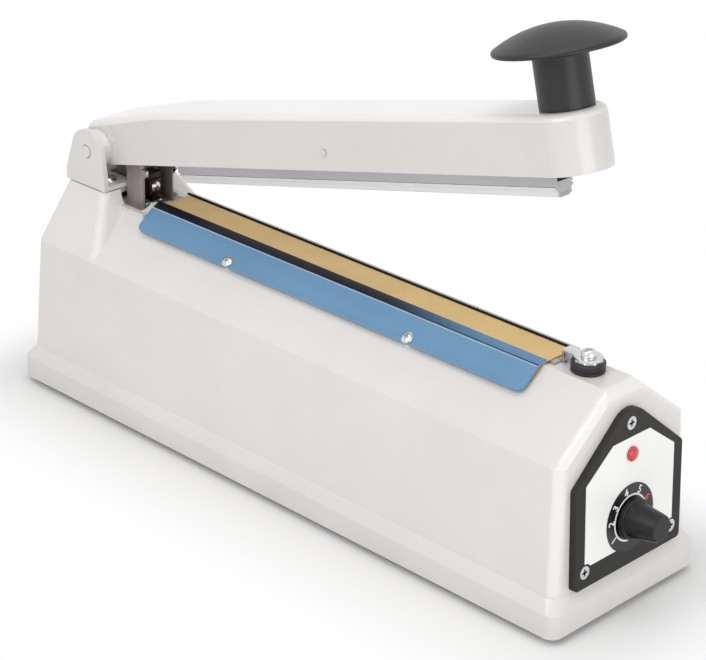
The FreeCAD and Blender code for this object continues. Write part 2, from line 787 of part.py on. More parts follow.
def housing_holes():
    """Every hole that a screw, terminal, lamp, shaft or gland passes through."""
    small = "small_screw + running_gap"
    holes = []
    for end, side in CORNERS:
        holes.append(rod("foot_hole", "z", small, "foot_height", "plate_top + foot_screw_reach + seat_gap",
                         "%d * foot_x" % end, "%d * foot_y" % side))
    for x, y in yoke_screw_places():
        holes.append(rod("yoke_hole", "z", "large_screw + running_gap", "tower_top - 2 * casting_wall",
                         "tower_top + 1", x, y))
    for y in switch_screw_rows():
        holes.append(rod("switch_hole", "z", "switch_screw + running_gap", "tower_top - 2 * casting_wall",
                         "tower_top - casting_wall / 4", "switch_centre", y))
    for x in bed_screw_places():
        holes.append(rod("bed_hole", "z", small, "inner_ridge - 1", "ridge", x))
    holes.append(rod("terminal_hole", "z", "terminal_spigot + seat_gap", "inner_ridge - 1", "ridge + 1",
                     "terminal_x"))
    holes.append(rod("stud_hole", "z", "stud_radius + running_gap", "stud_low",
                     "inner_ridge + casting_wall / 2", "-stud_x"))
    for x, y in guard_screw_places():
        holes.append(rod("guard_hole", "z", small, "slot_level - casting_wall - 1", "slot_level + 1", x, y))
    for frame, side in (("near_slope", -1), ("far_slope", 1)):
        for x in cover_screw_places():
            hole = rod("cover_hole", "z", small, "-2 * casting_wall", "2 * cover_standoff", x,
                       "%d * cover_screw_drop" % side)
            holes.append(put_in(frame, group("cover_holes", hole)))
    wall = ("-2 * casting_wall", "1")
    panel = [rod("lamp_hole", "x", "lamp_body_radius + seat_gap", *wall, "0", "lamp_height"),
             rod("pot_hole", "x", "pot_bushing_radius + seat_gap", *wall, "0", "dial_height")]
    for y, z in panel_screw_places():
        panel.append(rod("panel_hole", "x", small, *wall, y, z))
    holes.append(put_in("panel", group("panel_holes", *panel)))
    gland = rod("gland_hole", "x", "gland_barrel + seat_gap", "-1", "2 * casting_wall", "0", "gland_height")
    holes.append(put_in("rear", group("gland_holes", gland)))
    return holes


def make_housing():
    shell = new_body("housing_shell")
    outer_form(shell)
    hollow(shell)
    top_openings(shell)
    boss = rod("stud_boss", "z", "stud_boss_radius", "stud_low", "inner_ridge + casting_wall / 2", "-stud_x")
    solid = fuse("housing_solid", shell, boss, *housing_lugs(), *cover_seats())
    keep(cut("housing_drilled", solid, *housing_holes()), "body_casting")


def make_base():
    """Bottom plate with its four feet and the screws that hold both."""
    plate = new_body("base_plate")
    sketch = new_sketch(plate, "base_outline", "XY_Plane", "plate_bottom")
    rectangle(sketch, ("-half_length + plate_rebate + side_gap", "half_length - plate_rebate - side_gap"),
              ("-half_width + plate_rebate + side_gap", "half_width - plate_rebate - side_gap"),
              "corner_round - casting_wall")
    pad(plate, sketch, "bottom_thickness")
    holes = new_sketch(plate, "base_holes", "XY_Plane", "plate_bottom")
    for end, side in CORNERS:
        circle(holes, "small_screw + seat_gap", "%d * foot_x" % end, "%d * foot_y" % side)
    for x, y in strap_screw_places():
        circle(holes, "small_screw + seat_gap", x, y)
    pocket(plate, holes, "bottom_thickness", outward=True)
    keep(plate, "bottom_plate")
    feet, screws = [], []
    for end, side in CORNERS:
        at = ("%d * foot_x" % end, "%d * foot_y" % side)
        pad_form = cone("foot_form", "z", "foot_radius - foot_taper", "foot_radius", "0", "plate_bottom", *at)
        recess = rod("foot_recess", "z", "small_head + side_gap", "0", "foot_recess", *at)
        bore = rod("foot_bore", "z", "small_screw + seat_gap", "0", "plate_bottom", *at)
        feet.append(cut("foot", pad_form, fuse("foot_hollow", recess, bore)))
        screws.append(screw("foot_screw", "z", "foot_recess - small_head_height", "foot_recess",
                            "plate_top + foot_screw_reach", "small_head", "small_screw", *at))
    keep(group("feet", *feet), "rubber_feet")
    keep(group("foot_screw_set", *screws), "foot_screws")


# Hinge yoke, pin and rear terminal

def yoke_screw_places():
    return [("yoke_screw_x + %d * yoke_screw_pitch / 2" % end, "%d * yoke_screw_row" % side)
            for end, side in CORNERS]


def make_yoke():
    """Channel on the tower whose two ears carry the hinge pin, closed low down at the back."""
    yoke = new_body("yoke_form")
    sketch = new_sketch(yoke, "ear_outline", "XZ_Plane")
    ear_outline(sketch)
    pad(yoke, sketch, "2 * ear_outer", symmetric=True)
    gap = new_sketch(yoke, "ear_gap", "XZ_Plane")
    rectangle(gap, ("tower_back + yoke_sheet", "tower_front + 1"), ("yoke_floor", "pin_z + 2 * ear_round"))
    pocket(yoke, gap, "2 * ear_inner", symmetric=True)
    low = new_sketch(yoke, "web_top", "XZ_Plane")
    rectangle(low, ("tower_back - 1", "tower_back + yoke_sheet"),
              ("yoke_floor + yoke_web_height", "pin_z + 2 * ear_round"))
    pocket(yoke, low, "2 * ear_inner", symmetric=True)
    bore = new_sketch(yoke, "pin_bore", "XZ_Plane")
    circle(bore, "pin_radius + running_gap", "pin_x", "pin_z")
    pocket(yoke, bore, "4 * ear_outer", symmetric=True)
    floor = new_sketch(yoke, "floor_cuts", "XY_Plane", "tower_top - 1")
    rectangle(floor, ("tail_back - tail_slot_gap", "tower_front + 1"), ("-tail_slot_half", "tail_slot_half"))
    for x, y in yoke_screw_places():
        circle(floor, "large_screw + seat_gap", x, y)
    pocket(yoke, floor, "yoke_sheet + 2", outward=True)
    keep(yoke, "hinge_yoke")
    screws = [screw("yoke_screw", "z", "yoke_floor", "yoke_floor + large_head_height",
                    "tower_top - casting_wall - yoke_nut_depth", "large_head", "large_screw", x, y)
              for x, y in yoke_screw_places()]
    keep(group("yoke_screw_set", *screws), "yoke_screws")


def ear_outline(sketch):
    """Upright ear that narrows from its base to a round end about the pin."""
    centre = (number("pin_x"), number("pin_z"))
    radius = number("ear_round")
    back, front = number("tower_back"), number("tower_front")
    level, knee = number("tower_top"), number("yoke_floor + ear_knee")
    def tangent_point(x, side):
        """Where the line from an ear's knee meets the round end."""
        across, up = x - centre[0], knee - centre[1]
        away = math.hypot(across, up)
        turn = math.atan2(up, across) + side * math.acos(radius / away)
        return FreeCAD.Vector(centre[0] + radius * math.cos(turn), centre[1] + radius * math.sin(turn))
    right, left = tangent_point(front, 1), tangent_point(back, -1)
    corners = [FreeCAD.Vector(back, knee), FreeCAD.Vector(back, level),
               FreeCAD.Vector(front, level), FreeCAD.Vector(front, knee)]
    sides = [sketch.addGeometry(Part.LineSegment(a, b)) for a, b in zip(corners, corners[1:])]
    rise = sketch.addGeometry(Part.LineSegment(corners[3], right))
    fall = sketch.addGeometry(Part.LineSegment(left, corners[0]))
    begin = math.atan2(right.y - centre[1], right.x - centre[0])
    finish = math.atan2(left.y - centre[1], left.x - centre[0])
    if finish < begin:
        finish += 2 * math.pi
    whole = Part.Circle(FreeCAD.Vector(*centre), Z_AXIS, radius)
    arc = sketch.addGeometry(Part.ArcOfCircle(whole, begin, finish))
    for first, second in zip(sides, sides[1:] + [rise]):
        sketch.addConstraint(Sketcher.Constraint("Coincident", first, 2, second, 1))
    sketch.addConstraint(Sketcher.Constraint("Coincident", fall, 2, sides[0], 1))
    sketch.addConstraint(Sketcher.Constraint("Tangent", rise, 2, arc, 1))
    sketch.addConstraint(Sketcher.Constraint("Tangent", arc, 2, fall, 1))
    tie(sketch, arc, 3, "pin_x", "pin_z")
    size = sketch.addConstraint(Sketcher.Constraint("Radius", arc, radius))
    sketch.setExpression("Constraints[%d]" % size, bound("ear_round"))
    for geometry, across, up in zip(sides + [rise], ("tower_back", "tower_back", "tower_front", "tower_front"),
                                    ("yoke_floor + ear_knee", "tower_top", "tower_top",
                                     "yoke_floor + ear_knee")):
        tie(sketch, geometry, 1, across, up)


def make_pin():
    """Headed hinge pin with a clip in a groove at its far end."""
    shank = rod("pin_shank", "y", "pin_radius", "-ear_outer", "ear_outer + pin_overhang", "pin_x", "pin_z")
    head = rod("pin_head", "y", "pin_head_radius", "-ear_outer - pin_overhang", "-ear_outer", "pin_x", "pin_z")
    clip_place = ("ear_outer + seat_gap", "ear_outer + seat_gap + clip_thickness")
    ring = rod("groove_out", "y", "pin_radius + 1", *clip_place, "pin_x", "pin_z")
    core = rod("groove_in", "y", "pin_radius - clip_bite", *clip_place, "pin_x", "pin_z")
    keep(cut("pin_grooved", fuse("pin_form", shank, head), cut("pin_groove", ring, core)), "hinge_pin")
    disc = rod("clip_disc", "y", "clip_radius", "ear_outer + seat_gap + 0.1 * clip_thickness",
               "ear_outer + seat_gap + 0.9 * clip_thickness", "pin_x", "pin_z")
    hole = rod("clip_hole", "y", "pin_radius - clip_bite + running_gap", "ear_outer",
               "ear_outer + pin_overhang", "pin_x", "pin_z")
    mouth = box("clip_mouth", ("pin_x", "pin_x + 2 * clip_radius"), ("ear_outer", "ear_outer + pin_overhang"),
                ("pin_z - clip_mouth_half", "pin_z + clip_mouth_half"))
    keep(cut("clip", disc, hole, mouth), "pin_clip")


def guard_screw_places():
    return [("guard_front - guard_screw_back", "%d * guard_screw_row" % side) for side in SIGNS]


def make_guard():
    """Channel that shields the rear terminal, open towards the seal bed, with its feet turned in."""
    guard = new_body("guard_form")
    web = new_sketch(guard, "guard_plan", "XY_Plane", "slot_level")
    rectangle(web, ("guard_back", "guard_front"), ("-guard_half", "guard_half"), "guard_sheet")
    pad(guard, web, "guard_top - slot_level")
    inside = new_sketch(guard, "guard_inside", "XY_Plane", "slot_level + guard_sheet")
    rectangle(inside, ("guard_back + guard_sheet", "guard_front + 1"),
              ("-guard_half + guard_sheet", "guard_half - guard_sheet"))
    pocket(guard, inside, "guard_top - slot_level", outward=True)
    tabs = new_sketch(guard, "guard_tabs", "XZ_Plane")
    rectangle(tabs, ("guard_front - guard_sheet", "guard_front + guard_tab_out"),
              ("guard_tab_low", "guard_tab_low + guard_tab_height"), "guard_tab_height / 4")
    pad(guard, tabs, "2 * guard_half", symmetric=True)
    between = new_sketch(guard, "guard_between", "XZ_Plane")
    rectangle(between, ("guard_front - 2 * guard_sheet", "guard_front + 2 * guard_tab_out"),
              ("guard_tab_low - 1", "guard_tab_low + guard_tab_height + 1"))
    pocket(guard, between, "2 * guard_half - 2 * guard_sheet", symmetric=True)
    holes = new_sketch(guard, "guard_holes", "XY_Plane", "slot_level - 1")
    for x, y in guard_screw_places():
        circle(holes, "small_screw + seat_gap", x, y)
    pocket(guard, holes, "guard_sheet + 2", outward=True)
    keep(guard, "terminal_guard")
    floor = "slot_level + guard_sheet"
    screws = [screw("guard_screw", "z", floor, floor + " + small_head_height",
                    "slot_level - casting_wall - seat_gap", "small_head", "small_screw", x, y)
              for x, y in guard_screw_places()]
    keep(group("guard_screw_set", *screws), "guard_screws")


def make_rear_terminal():
    """Insulating block in the guard, the lug that grips the element's end, and its screw."""
    bottom = "slot_level + guard_sheet + seat_gap"
    y = ("-block_half", "block_half")
    block = box("block_form", ("block_back", "block_front"), y, (bottom, bottom + " + block_height"))
    bore = rod("block_bore", "x", "small_screw + running_gap", "block_back - 1", "block_front + 1",
               "0", "rear_screw_height")
    feet = [rod("block_relief", "z", "small_head + side_gap", bottom + " - 1",
                bottom + " + small_head_height + 2", x, at) for x, at in guard_screw_places()]
    keep(cut("block", block, bore, *feet), "rear_insulator")
    lug_front = "block_front + seat_gap + lug_thickness"
    upright = box("lug_upright", ("block_front + seat_gap", lug_front), ("-lug_strap_half", "lug_strap_half"),
                  ("element_bottom - lug_thickness", "rear_screw_height + lug_strap_half"))
    strap = box("lug_strap", ("block_front + seat_gap", "-lug_reach"), ("-element_half", "element_half"),
                ("element_bottom - lug_thickness", "element_bottom"))
    hole = rod("lug_hole", "x", "small_screw + seat_gap", "block_front", lug_front + " + 1", "0",
               "rear_screw_height")
    keep(cut("lug", fuse("lug_form", upright, strap), hole), "rear_lug")
    keep(screw("rear_screw_form", "x", lug_front, lug_front + " + small_head_height", "block_back + 1",
               "small_head", "small_screw", "0", "rear_screw_height"), "rear_terminal_screw")


# Arm, its tail, bushes and handle

def make_arm():
    """Hollow cast arm: long channel open below, round nose, and a cross hub about the hinge pin."""
    arm = new_body("arm_form")
    plan = new_sketch(arm, "arm_plan", "XY_Plane", "-arm_bottom")
    nose_outline(plan, "-arm_rear_edge - 2", "handle_reach", "arm_half")
    pad(arm, plan, "arm_bottom + arm_top")
    slope = new_sketch(arm, "arm_slope", "XZ_Plane")
    outline(slope, [("-arm_rear_edge", "arm_rear_top"), ("arm_slope_start", "arm_top"),
                    ("arm_slope_start", "arm_top + 5"), ("-arm_hub_radius - 5", "arm_top + 5"),
                    ("-arm_hub_radius - 5", "-arm_bottom - 1"),
                    ("-arm_rear_edge - arm_rear_step", "-arm_bottom - 1"),
                    ("-arm_rear_edge - arm_rear_step", "arm_rear_top - arm_rear_step_drop")])
    pocket(arm, slope, "4 * arm_half", symmetric=True)
    DOC.recompute()
    fillet(arm, "arm_top_round", is_top_edge)
    room = new_sketch(arm, "arm_room", "XY_Plane", "-arm_bottom")
    nose_outline(room, "arm_wall", "handle_reach", "arm_half - arm_wall")
    pocket(arm, room, "arm_bottom + arm_top - arm_wall - arm_slope_drop", outward=True)
    high_room = new_sketch(arm, "arm_high_room", "XY_Plane", "0")
    nose_outline(high_room, "arm_slope_start", "handle_reach", "arm_half - arm_wall")
    pocket(arm, high_room, "arm_top - arm_wall", outward=True)
    hub = new_sketch(arm, "arm_hub", "XZ_Plane")
    circle(hub, "arm_hub_radius")
    pad(arm, hub, "2 * hub_half", symmetric=True)
    seat = new_sketch(arm, "tail_seat", "XZ_Plane")
    rectangle(seat, ("-tail_offset - tail_thickness", "-tail_offset + tail_thickness"),
              ("-tail_root - 2", "-arm_hub_radius + arm_wall"))
    pocket(arm, seat, "2 * tail_half + 2 * seat_gap", symmetric=True)
    boss = new_sketch(arm, "handle_boss", "XY_Plane", "arm_top - arm_wall - handle_boss_drop")
    circle(boss, "handle_boss_radius", "handle_reach")
    pad(arm, boss, "handle_boss_drop + arm_wall / 2")
    cross = new_sketch(arm, "pin_bosses", "XZ_Plane")
    circle(cross, "pin_boss_radius", "bar_pivot_reach")
    pad(arm, cross, "2 * arm_half - arm_wall", symmetric=True)
    clear = new_sketch(arm, "pin_boss_gap", "XZ_Plane")
    circle(clear, "pin_boss_radius + 1", "bar_pivot_reach")
    pocket(arm, clear, "saddle_width + 2 * side_gap", symmetric=True)
    bores = new_sketch(arm, "arm_bores", "XZ_Plane")
    circle(bores, "bush_radius + running_gap")
    circle(bores, "bar_pin_radius + running_gap", "bar_pivot_reach")
    pocket(arm, bores, "4 * arm_half", symmetric=True)
    hole = new_sketch(arm, "handle_hole", "XY_Plane", "0")
    circle(hole, "handle_bolt + seat_gap", "handle_reach")
    pocket(arm, hole, "arm_top + 1", outward=True)
    return keep(arm, "upper_arm", "arm")


def is_top_edge(edge):
    """Edges round the arm's top, but not the ones that cross it."""
    span = edge.BoundBox
    top = number("arm_rear_top") - 0.01
    crossing = span.XLength < 0.01 and span.YLength > 0.01
    return span.ZMin > top and not crossing


def nose_outline(sketch, back, nose, half):
    """Strip with a square back end and a half-round nose."""
    half_size, centre = number(half), number(nose)
    corners = [(centre, half_size), (number(back), half_size), (number(back), -half_size), (centre, -half_size)]
    points = [FreeCAD.Vector(x, y) for x, y in corners]
    lines = [sketch.addGeometry(Part.LineSegment(a, b)) for a, b in zip(points, points[1:])]
    circle_form = Part.Circle(FreeCAD.Vector(centre, 0), Z_AXIS, half_size)
    arc = sketch.addGeometry(Part.ArcOfCircle(circle_form, -math.pi / 2, math.pi / 2))
    sketch.addConstraint(Sketcher.Constraint("Coincident", lines[0], 2, lines[1], 1))
    sketch.addConstraint(Sketcher.Constraint("Coincident", lines[1], 2, lines[2], 1))
    sketch.addConstraint(Sketcher.Constraint("Tangent", lines[2], 2, arc, 1))
    sketch.addConstraint(Sketcher.Constraint("Tangent", arc, 2, lines[0], 1))
    sketch.addConstraint(Sketcher.Constraint("Horizontal", lines[0]))
    tie(sketch, lines[1], 1, back, half)
    tie(sketch, lines[2], 1, back, "-(%s)" % half)
    tie(sketch, arc, 3, nose, "0")
    return sketch


def make_hinge_bushes():
    bushes = []
    for side in SIGNS:
        ends = sorted(("%d * hub_half" % side, "%d * (hub_half - bush_length)" % side), key=number)
        outer = rod("bush_outer", "y", "bush_radius", *ends)
        bore = rod("bush_bore", "y", "pin_radius + running_gap", *ends)
        bushes.append(cut("bush", outer, bore))
    keep(group("bush_pair", *bushes), "hinge_bushes", "arm")


def make_tail():
    """Lever under the arm's hub that pulls the return spring and presses the micro switch."""
    faces = ("-tail_offset - tail_thickness / 2", "-tail_offset + tail_thickness / 2")
    lever = box("tail_blade", faces, ("-tail_half", "tail_half"), ("-tail_length", "-tail_root"))
    hole = rod("tail_hole", "x", "tail_hole", "-2 * tail_offset - tail_thickness", "tail_thickness", "0",
               "-tail_length + tail_hole_up")
    keep(cut("tail", lever, hole), "arm_tail", "arm")


def make_handle():
    """Mushroom grip on a straight stem, held by a bolt from inside the arm."""
    grip = new_body("grip_form")
    sketch = new_sketch(grip, "grip_profile", "XZ_Plane")
    grip_profile(sketch)
    turned = grip.newObject("PartDesign::Revolution", "grip_turned")
    turned.Profile = sketch
    turned.ReferenceAxis = (sketch, ["V_Axis"])
    turned.Angle = 360
    hole = new_sketch(grip, "grip_hole", "XY_Plane", "0")
    circle(hole, "handle_bolt + running_gap")
    pocket(grip, hole, "handle_bolt_reach + seat_gap", outward=True)
    moved = group("grip_moved", grip)
    grip.setExpression("Placement.Base.x", bound("handle_reach"))
    grip.setExpression("Placement.Base.z", bound("arm_top"))
    keep(moved, "handle_knob", "arm")
    head_top = "arm_top - arm_wall - handle_boss_drop"
    keep(screw("handle_bolt_form", "z", head_top + " - handle_bolt_head_height", head_top,
               "arm_top + handle_bolt_reach", "handle_bolt_head", "handle_bolt", "handle_reach"),
         "handle_bolt", "arm")


def grip_profile(sketch):
    """Half section of the grip: stem, flare, flat underside, rim and a shallow dome."""
    stem, height = number("stem_radius"), number("stem_height")
    reach, rim, dome = number("grip_radius"), number("grip_rim"), number("grip_dome")
    flare = number("stem_flare")
    points = [(0, 0), (stem, 0), (stem, height - flare)]
    points = [FreeCAD.Vector(x, y) for x, y in points]
    foot = sketch.addGeometry(Part.LineSegment(points[0], points[1]))
    side = sketch.addGeometry(Part.LineSegment(points[1], points[2]))
    centre = FreeCAD.Vector(stem + flare, height - flare)
    bend = sketch.addGeometry(Part.ArcOfCircle(Part.Circle(centre, Z_AXIS, flare), math.pi / 2, math.pi))
    low_edge, high_edge = FreeCAD.Vector(reach, height), FreeCAD.Vector(reach, height + rim)
    under = sketch.addGeometry(Part.LineSegment(FreeCAD.Vector(stem + flare, height), low_edge))
    edge = sketch.addGeometry(Part.LineSegment(low_edge, high_edge))
    crown = (reach ** 2 + dome ** 2) / (2 * dome)
    middle = FreeCAD.Vector(0, height + rim + dome - crown)
    start = math.atan2(crown - dome, reach)
    arch = sketch.addGeometry(Part.ArcOfCircle(Part.Circle(middle, Z_AXIS, crown), start, math.pi / 2))
    axis = sketch.addGeometry(Part.LineSegment(FreeCAD.Vector(0, height + rim + dome), points[0]))
    sketch.addConstraint(Sketcher.Constraint("Tangent", side, 2, bend, 2))
    for first, end, second, start in ((foot, 2, side, 1), (bend, 1, under, 1),
                                      (under, 2, edge, 1), (edge, 2, arch, 1), (arch, 2, axis, 1),
                                      (axis, 2, foot, 1)):
        sketch.addConstraint(Sketcher.Constraint("Coincident", first, end, second, start))
    tie(sketch, foot, 1, "0", "0")
    tie(sketch, side, 1, "stem_radius", "0")
    tie(sketch, side, 2, "stem_radius", "stem_height - stem_flare")
    tie(sketch, under, 1, "stem_radius + stem_flare", "stem_height")
    tie(sketch, under, 2, "grip_radius", "stem_height")
    tie(sketch, arch, 1, "grip_radius", "stem_height + grip_rim")
    tie(sketch, arch, 2, "0", "stem_height + grip_rim + grip_dome")
    sketch.addConstraint(Sketcher.Constraint("DistanceX", -1, 1, arch, 3, 0))


# Pressure bar and its rocking mount

def make_pressure_bar():
    """Extruded bar: open channel above, grooved sides and a narrow flange that holds the strip."""
    bar = new_body("bar_form")
    profile = new_sketch(bar, "bar_profile", "YZ_Plane", "bar_start")
    groove = "bar_half - bar_groove_depth"
    slot_top = "-bar_bottom + silicone_depth"
    half = [("bar_half", "-bar_groove_bottom"), ("bar_half", "-bar_shelf"), ("bar_flange_half", "-bar_shelf"),
            ("bar_flange_half", "-bar_bottom"), ("silicone_half + running_gap", "-bar_bottom"),
            ("silicone_half + running_gap", slot_top)]
    upper = [("bar_half - bar_web", "-bar_floor"), ("bar_half - bar_web", "-bar_top"), ("bar_half", "-bar_top"),
             ("bar_half", "-bar_groove_top"), (groove, "-bar_groove_top"), (groove, "-bar_groove_bottom")]
    def mirrored(corners):
        return [("-(%s)" % across, up) for across, up in reversed(corners)]
    clockwise = upper + half + mirrored(half) + mirrored(upper)
    outline(profile, list(reversed(clockwise)))
    pad(bar, profile, "bar_end - bar_start")
    rivets = new_sketch(bar, "bar_rivet_holes", "XZ_Plane")
    for x, z in saddle_rivet_places():
        circle(rivets, "saddle_rivet_radius + running_gap", x, z)
    pocket(bar, rivets, "4 * bar_half", symmetric=True)
    keep(bar, "pressure_bar", "arm")
    strip = box("strip_form", ("bar_start", "bar_end"), ("-silicone_half", "silicone_half"),
                ("-bar_bottom - silicone_out", slot_top + " - running_gap"))
    keep(group("strip_moved", strip), "silicone_strip", "arm")


def saddle_rivet_places():
    return [("bar_pivot_reach + %d * saddle_rivet_offset" % end, "-saddle_rivet_drop") for end in SIGNS]


def make_saddle():
    """Block in the bar's channel that rises to an eye on the cross pin, so that the bar can rock."""
    saddle = new_body("saddle_form")
    side = new_sketch(saddle, "saddle_side", "XZ_Plane")
    outline(side, [("bar_pivot_reach - saddle_half_length", "-bar_floor + running_gap"),
                   ("bar_pivot_reach + saddle_half_length", "-bar_floor + running_gap"),
                   ("bar_pivot_reach + saddle_half_length", "-bar_top", "1"),
                   ("bar_pivot_reach + saddle_eye", "saddle_eye", "saddle_eye * 0.9"),
                   ("bar_pivot_reach - saddle_eye", "saddle_eye", "saddle_eye * 0.9"),
                   ("bar_pivot_reach - saddle_half_length", "-bar_top", "1")])
    pad(saddle, side, "saddle_width", symmetric=True)
    holes = new_sketch(saddle, "saddle_holes", "XZ_Plane")
    circle(holes, "bar_pin_radius + running_gap", "bar_pivot_reach")
    for x, z in saddle_rivet_places():
        circle(holes, "saddle_rivet_radius + running_gap", x, z)
    pocket(saddle, holes, "2 * saddle_width", symmetric=True)
    keep(saddle, "bar_saddle", "arm")
    rivets = [rod("saddle_rivet", "y", "saddle_rivet_radius", "-bar_half", "bar_half", x, z)
              for x, z in saddle_rivet_places()]
    keep(group("rivet_pair", *rivets), "saddle_rivets", "arm")
    pin = rod("cross_pin", "y", "bar_pin_radius", "-arm_half - bar_pin_overhang", "arm_half + bar_pin_overhang",
              "bar_pivot_reach", "0")
    keep(group("cross_pin_moved", pin), "bar_pivot_pin", "arm")


# Return spring and micro switch

LOOP_STEPS = 10
LOOP_OPENING = 50
COIL_STEPS = 10
RIGHT_CORNERS = 1

def ring_points(middle, radius, first, last, across):
    """Points round part of a wire loop, from one angle to another, in the plane of X and across."""
    points = []
    for step in range(LOOP_STEPS + 1):
        turn = math.radians(first + (last - first) * step / LOOP_STEPS)
        points.append(middle + X_AXIS * (radius * math.cos(turn)) + across * (radius * math.sin(turn)))
    return points


def make_spring():
    """Extension spring from the tail's hole to a stud under the ridge, with a loop at each end."""
    tail_loop = number("tail_thickness / 2 + spring_wire + spring_loop_gap + seat_gap")
    stud_loop = number("stud_radius + spring_wire + spring_loop_gap")
    coil, turns, wire = number("spring_radius"), int(number("spring_turns")), number("spring_wire")
    hook = FreeCAD.Vector(number("hook_x"), 0, number("hook_z"))
    stud = FreeCAD.Vector(number("-stud_x"), 0, hook.z)
    start = hook + X_AXIS * (tail_loop + number("spring_leg"))
    stop = stud - X_AXIS * (stud_loop + number("spring_leg"))
    points = ring_points(hook, tail_loop, LOOP_OPENING, 360, Z_AXIS) + [start]
    for step in range(turns * COIL_STEPS + 1):
        turn = 2 * math.pi * step / COIL_STEPS
        along = start + (stop - start) * (step / (turns * COIL_STEPS))
        points.append(along + Y_AXIS * (coil * math.cos(turn)) + Z_AXIS * (coil * math.sin(turn)))
    points += [stop] + ring_points(stud, stud_loop, 180, 540 - LOOP_OPENING, Y_AXIS)
    side = (points[1] - points[0]).cross(Y_AXIS).normalize()
    corners = [points[0] + side * (wire * math.cos(math.radians(60 * step)))
               + Y_AXIS * (wire * math.sin(math.radians(60 * step))) for step in range(6)]
    section = Part.makePolygon(corners + [corners[0]])
    spring = DOC.addObject("Part::Feature", "spring_form")
    spring.Shape = Part.makePolygon(points).makePipeShell([section], True, False, RIGHT_CORNERS)
    keep(spring, "return_spring")
    keep(group("stud_moved", rod("stud", "z", "stud_radius", "stud_low - stud_reach",
                                 "inner_ridge", "-stud_x")), "spring_stud")


def switch_screw_rows():
    return ["%d * switch_screw_row" % side for side in SIGNS]


def make_switch():
    """Micro switch hung under the tower's top, its button facing the tail."""
    top = "tower_top - casting_wall - seat_gap"
    low = top + " - switch_height"
    case = box("switch_case", ("switch_front - switch_depth", "switch_front"),
               ("-switch_length / 2", "switch_length / 2"), (low, top))
    bores = [rod("switch_bore", "z", "switch_screw + running_gap", low + " - 1", top + " + 1",
                 "switch_centre", y) for y in switch_screw_rows()]
    well = rod("switch_well", "x", "switch_button_radius + running_gap",
               "switch_front - switch_button_deep - switch_travel - seat_gap", "switch_front + 1", "0",
               low + " + switch_height / 2")
    keep(cut("switch_body", case, fuse("switch_bores", well, *bores)), "micro_switch")
    screws = [screw("switch_screw", "z", low + " - small_head_height", low, "tower_top - casting_wall / 2",
                    "switch_screw * 1.6", "switch_screw", "switch_centre", y) for y in switch_screw_rows()]
    keep(group("switch_screw_set", *screws), "switch_screws")
    button = rod("button", "x", "switch_button_radius", "switch_front - switch_button_deep",
                 "switch_front + switch_button_out", "0", low + " + switch_height / 2")
    keep(group("button_moved", button), "switch_button")


# Seal stack on the ridge

def bed_screw_places():
    return ["bed_middle + %d * bed_screw_pitch" % step for step in (-1, 0, 1)]


def make_seal_stack():
    """Aluminium bed in the ridge, insulation, heating element and the cloth that covers them."""
    bed = box("bed_form", ("bed_start", "bed_end"), ("-bed_half", "bed_half"), ("bed_bottom", "bed_top"))
    holes = [rod("bed_thread", "z", "small_screw + running_gap", "bed_bottom - 1",
                 "bed_bottom + bed_sunk - 0.5", x) for x in bed_screw_places()]
    keep(cut("bed", bed, *holes), "seal_bed")
    head_top = "inner_ridge - seat_gap"
    screws = [screw("bed_screw", "z", head_top + " - small_head_height", head_top,
                    "bed_bottom + bed_sunk - 0.6", "small_head", "small_screw", x)
              for x in bed_screw_places()]
    keep(group("bed_screw_set", *screws), "bed_screws")
    strip = box("insulation_form", ("bed_start", "bed_end"), ("-insulation_half", "insulation_half"),
                ("bed_top", "element_bottom"))
    keep(group("insulation_moved", strip), "insulation_strip")
    ribbon = box("element_form", ("-lug_reach - 3", "terminal_x - clamp_tab_reach + clamp_thickness"),
                 ("-element_half", "element_half"), ("element_bottom", "cloth_bottom"))
    keep(group("element_moved", ribbon), "heating_element")
    cloth = new_body("cloth_form")
    section = new_sketch(cloth, "cloth_section", "YZ_Plane", "-cloth_start")
    over = "(cloth_lay + cloth_thickness) / cos(roof_angle)"
    lay = "cloth_lay / cos(roof_angle)"
    flap = "ridge_half + cloth_drop"
    right = [(flap, "cloth_edge + " + lay), (flap, "cloth_edge + " + over),
             ("ridge_half - (cloth_top - ridge - %s) / tan(roof_angle)" % over, "cloth_top")]
    fold = ("ridge_half - (cloth_bottom - ridge - %s) / tan(roof_angle)" % lay, "cloth_bottom")
    left = [("-(%s)" % across, up) for across, up in reversed(right)]
    outline(section, right + left + [("-(%s)" % fold[0], fold[1]), fold])
    pad(cloth, section, "cloth_start + cloth_end")
    keep(cloth, "ptfe_cloth")


def cover_screw_places():
    return ["cover_screw_first", "cover_screw_first + cover_screw_pitch"]


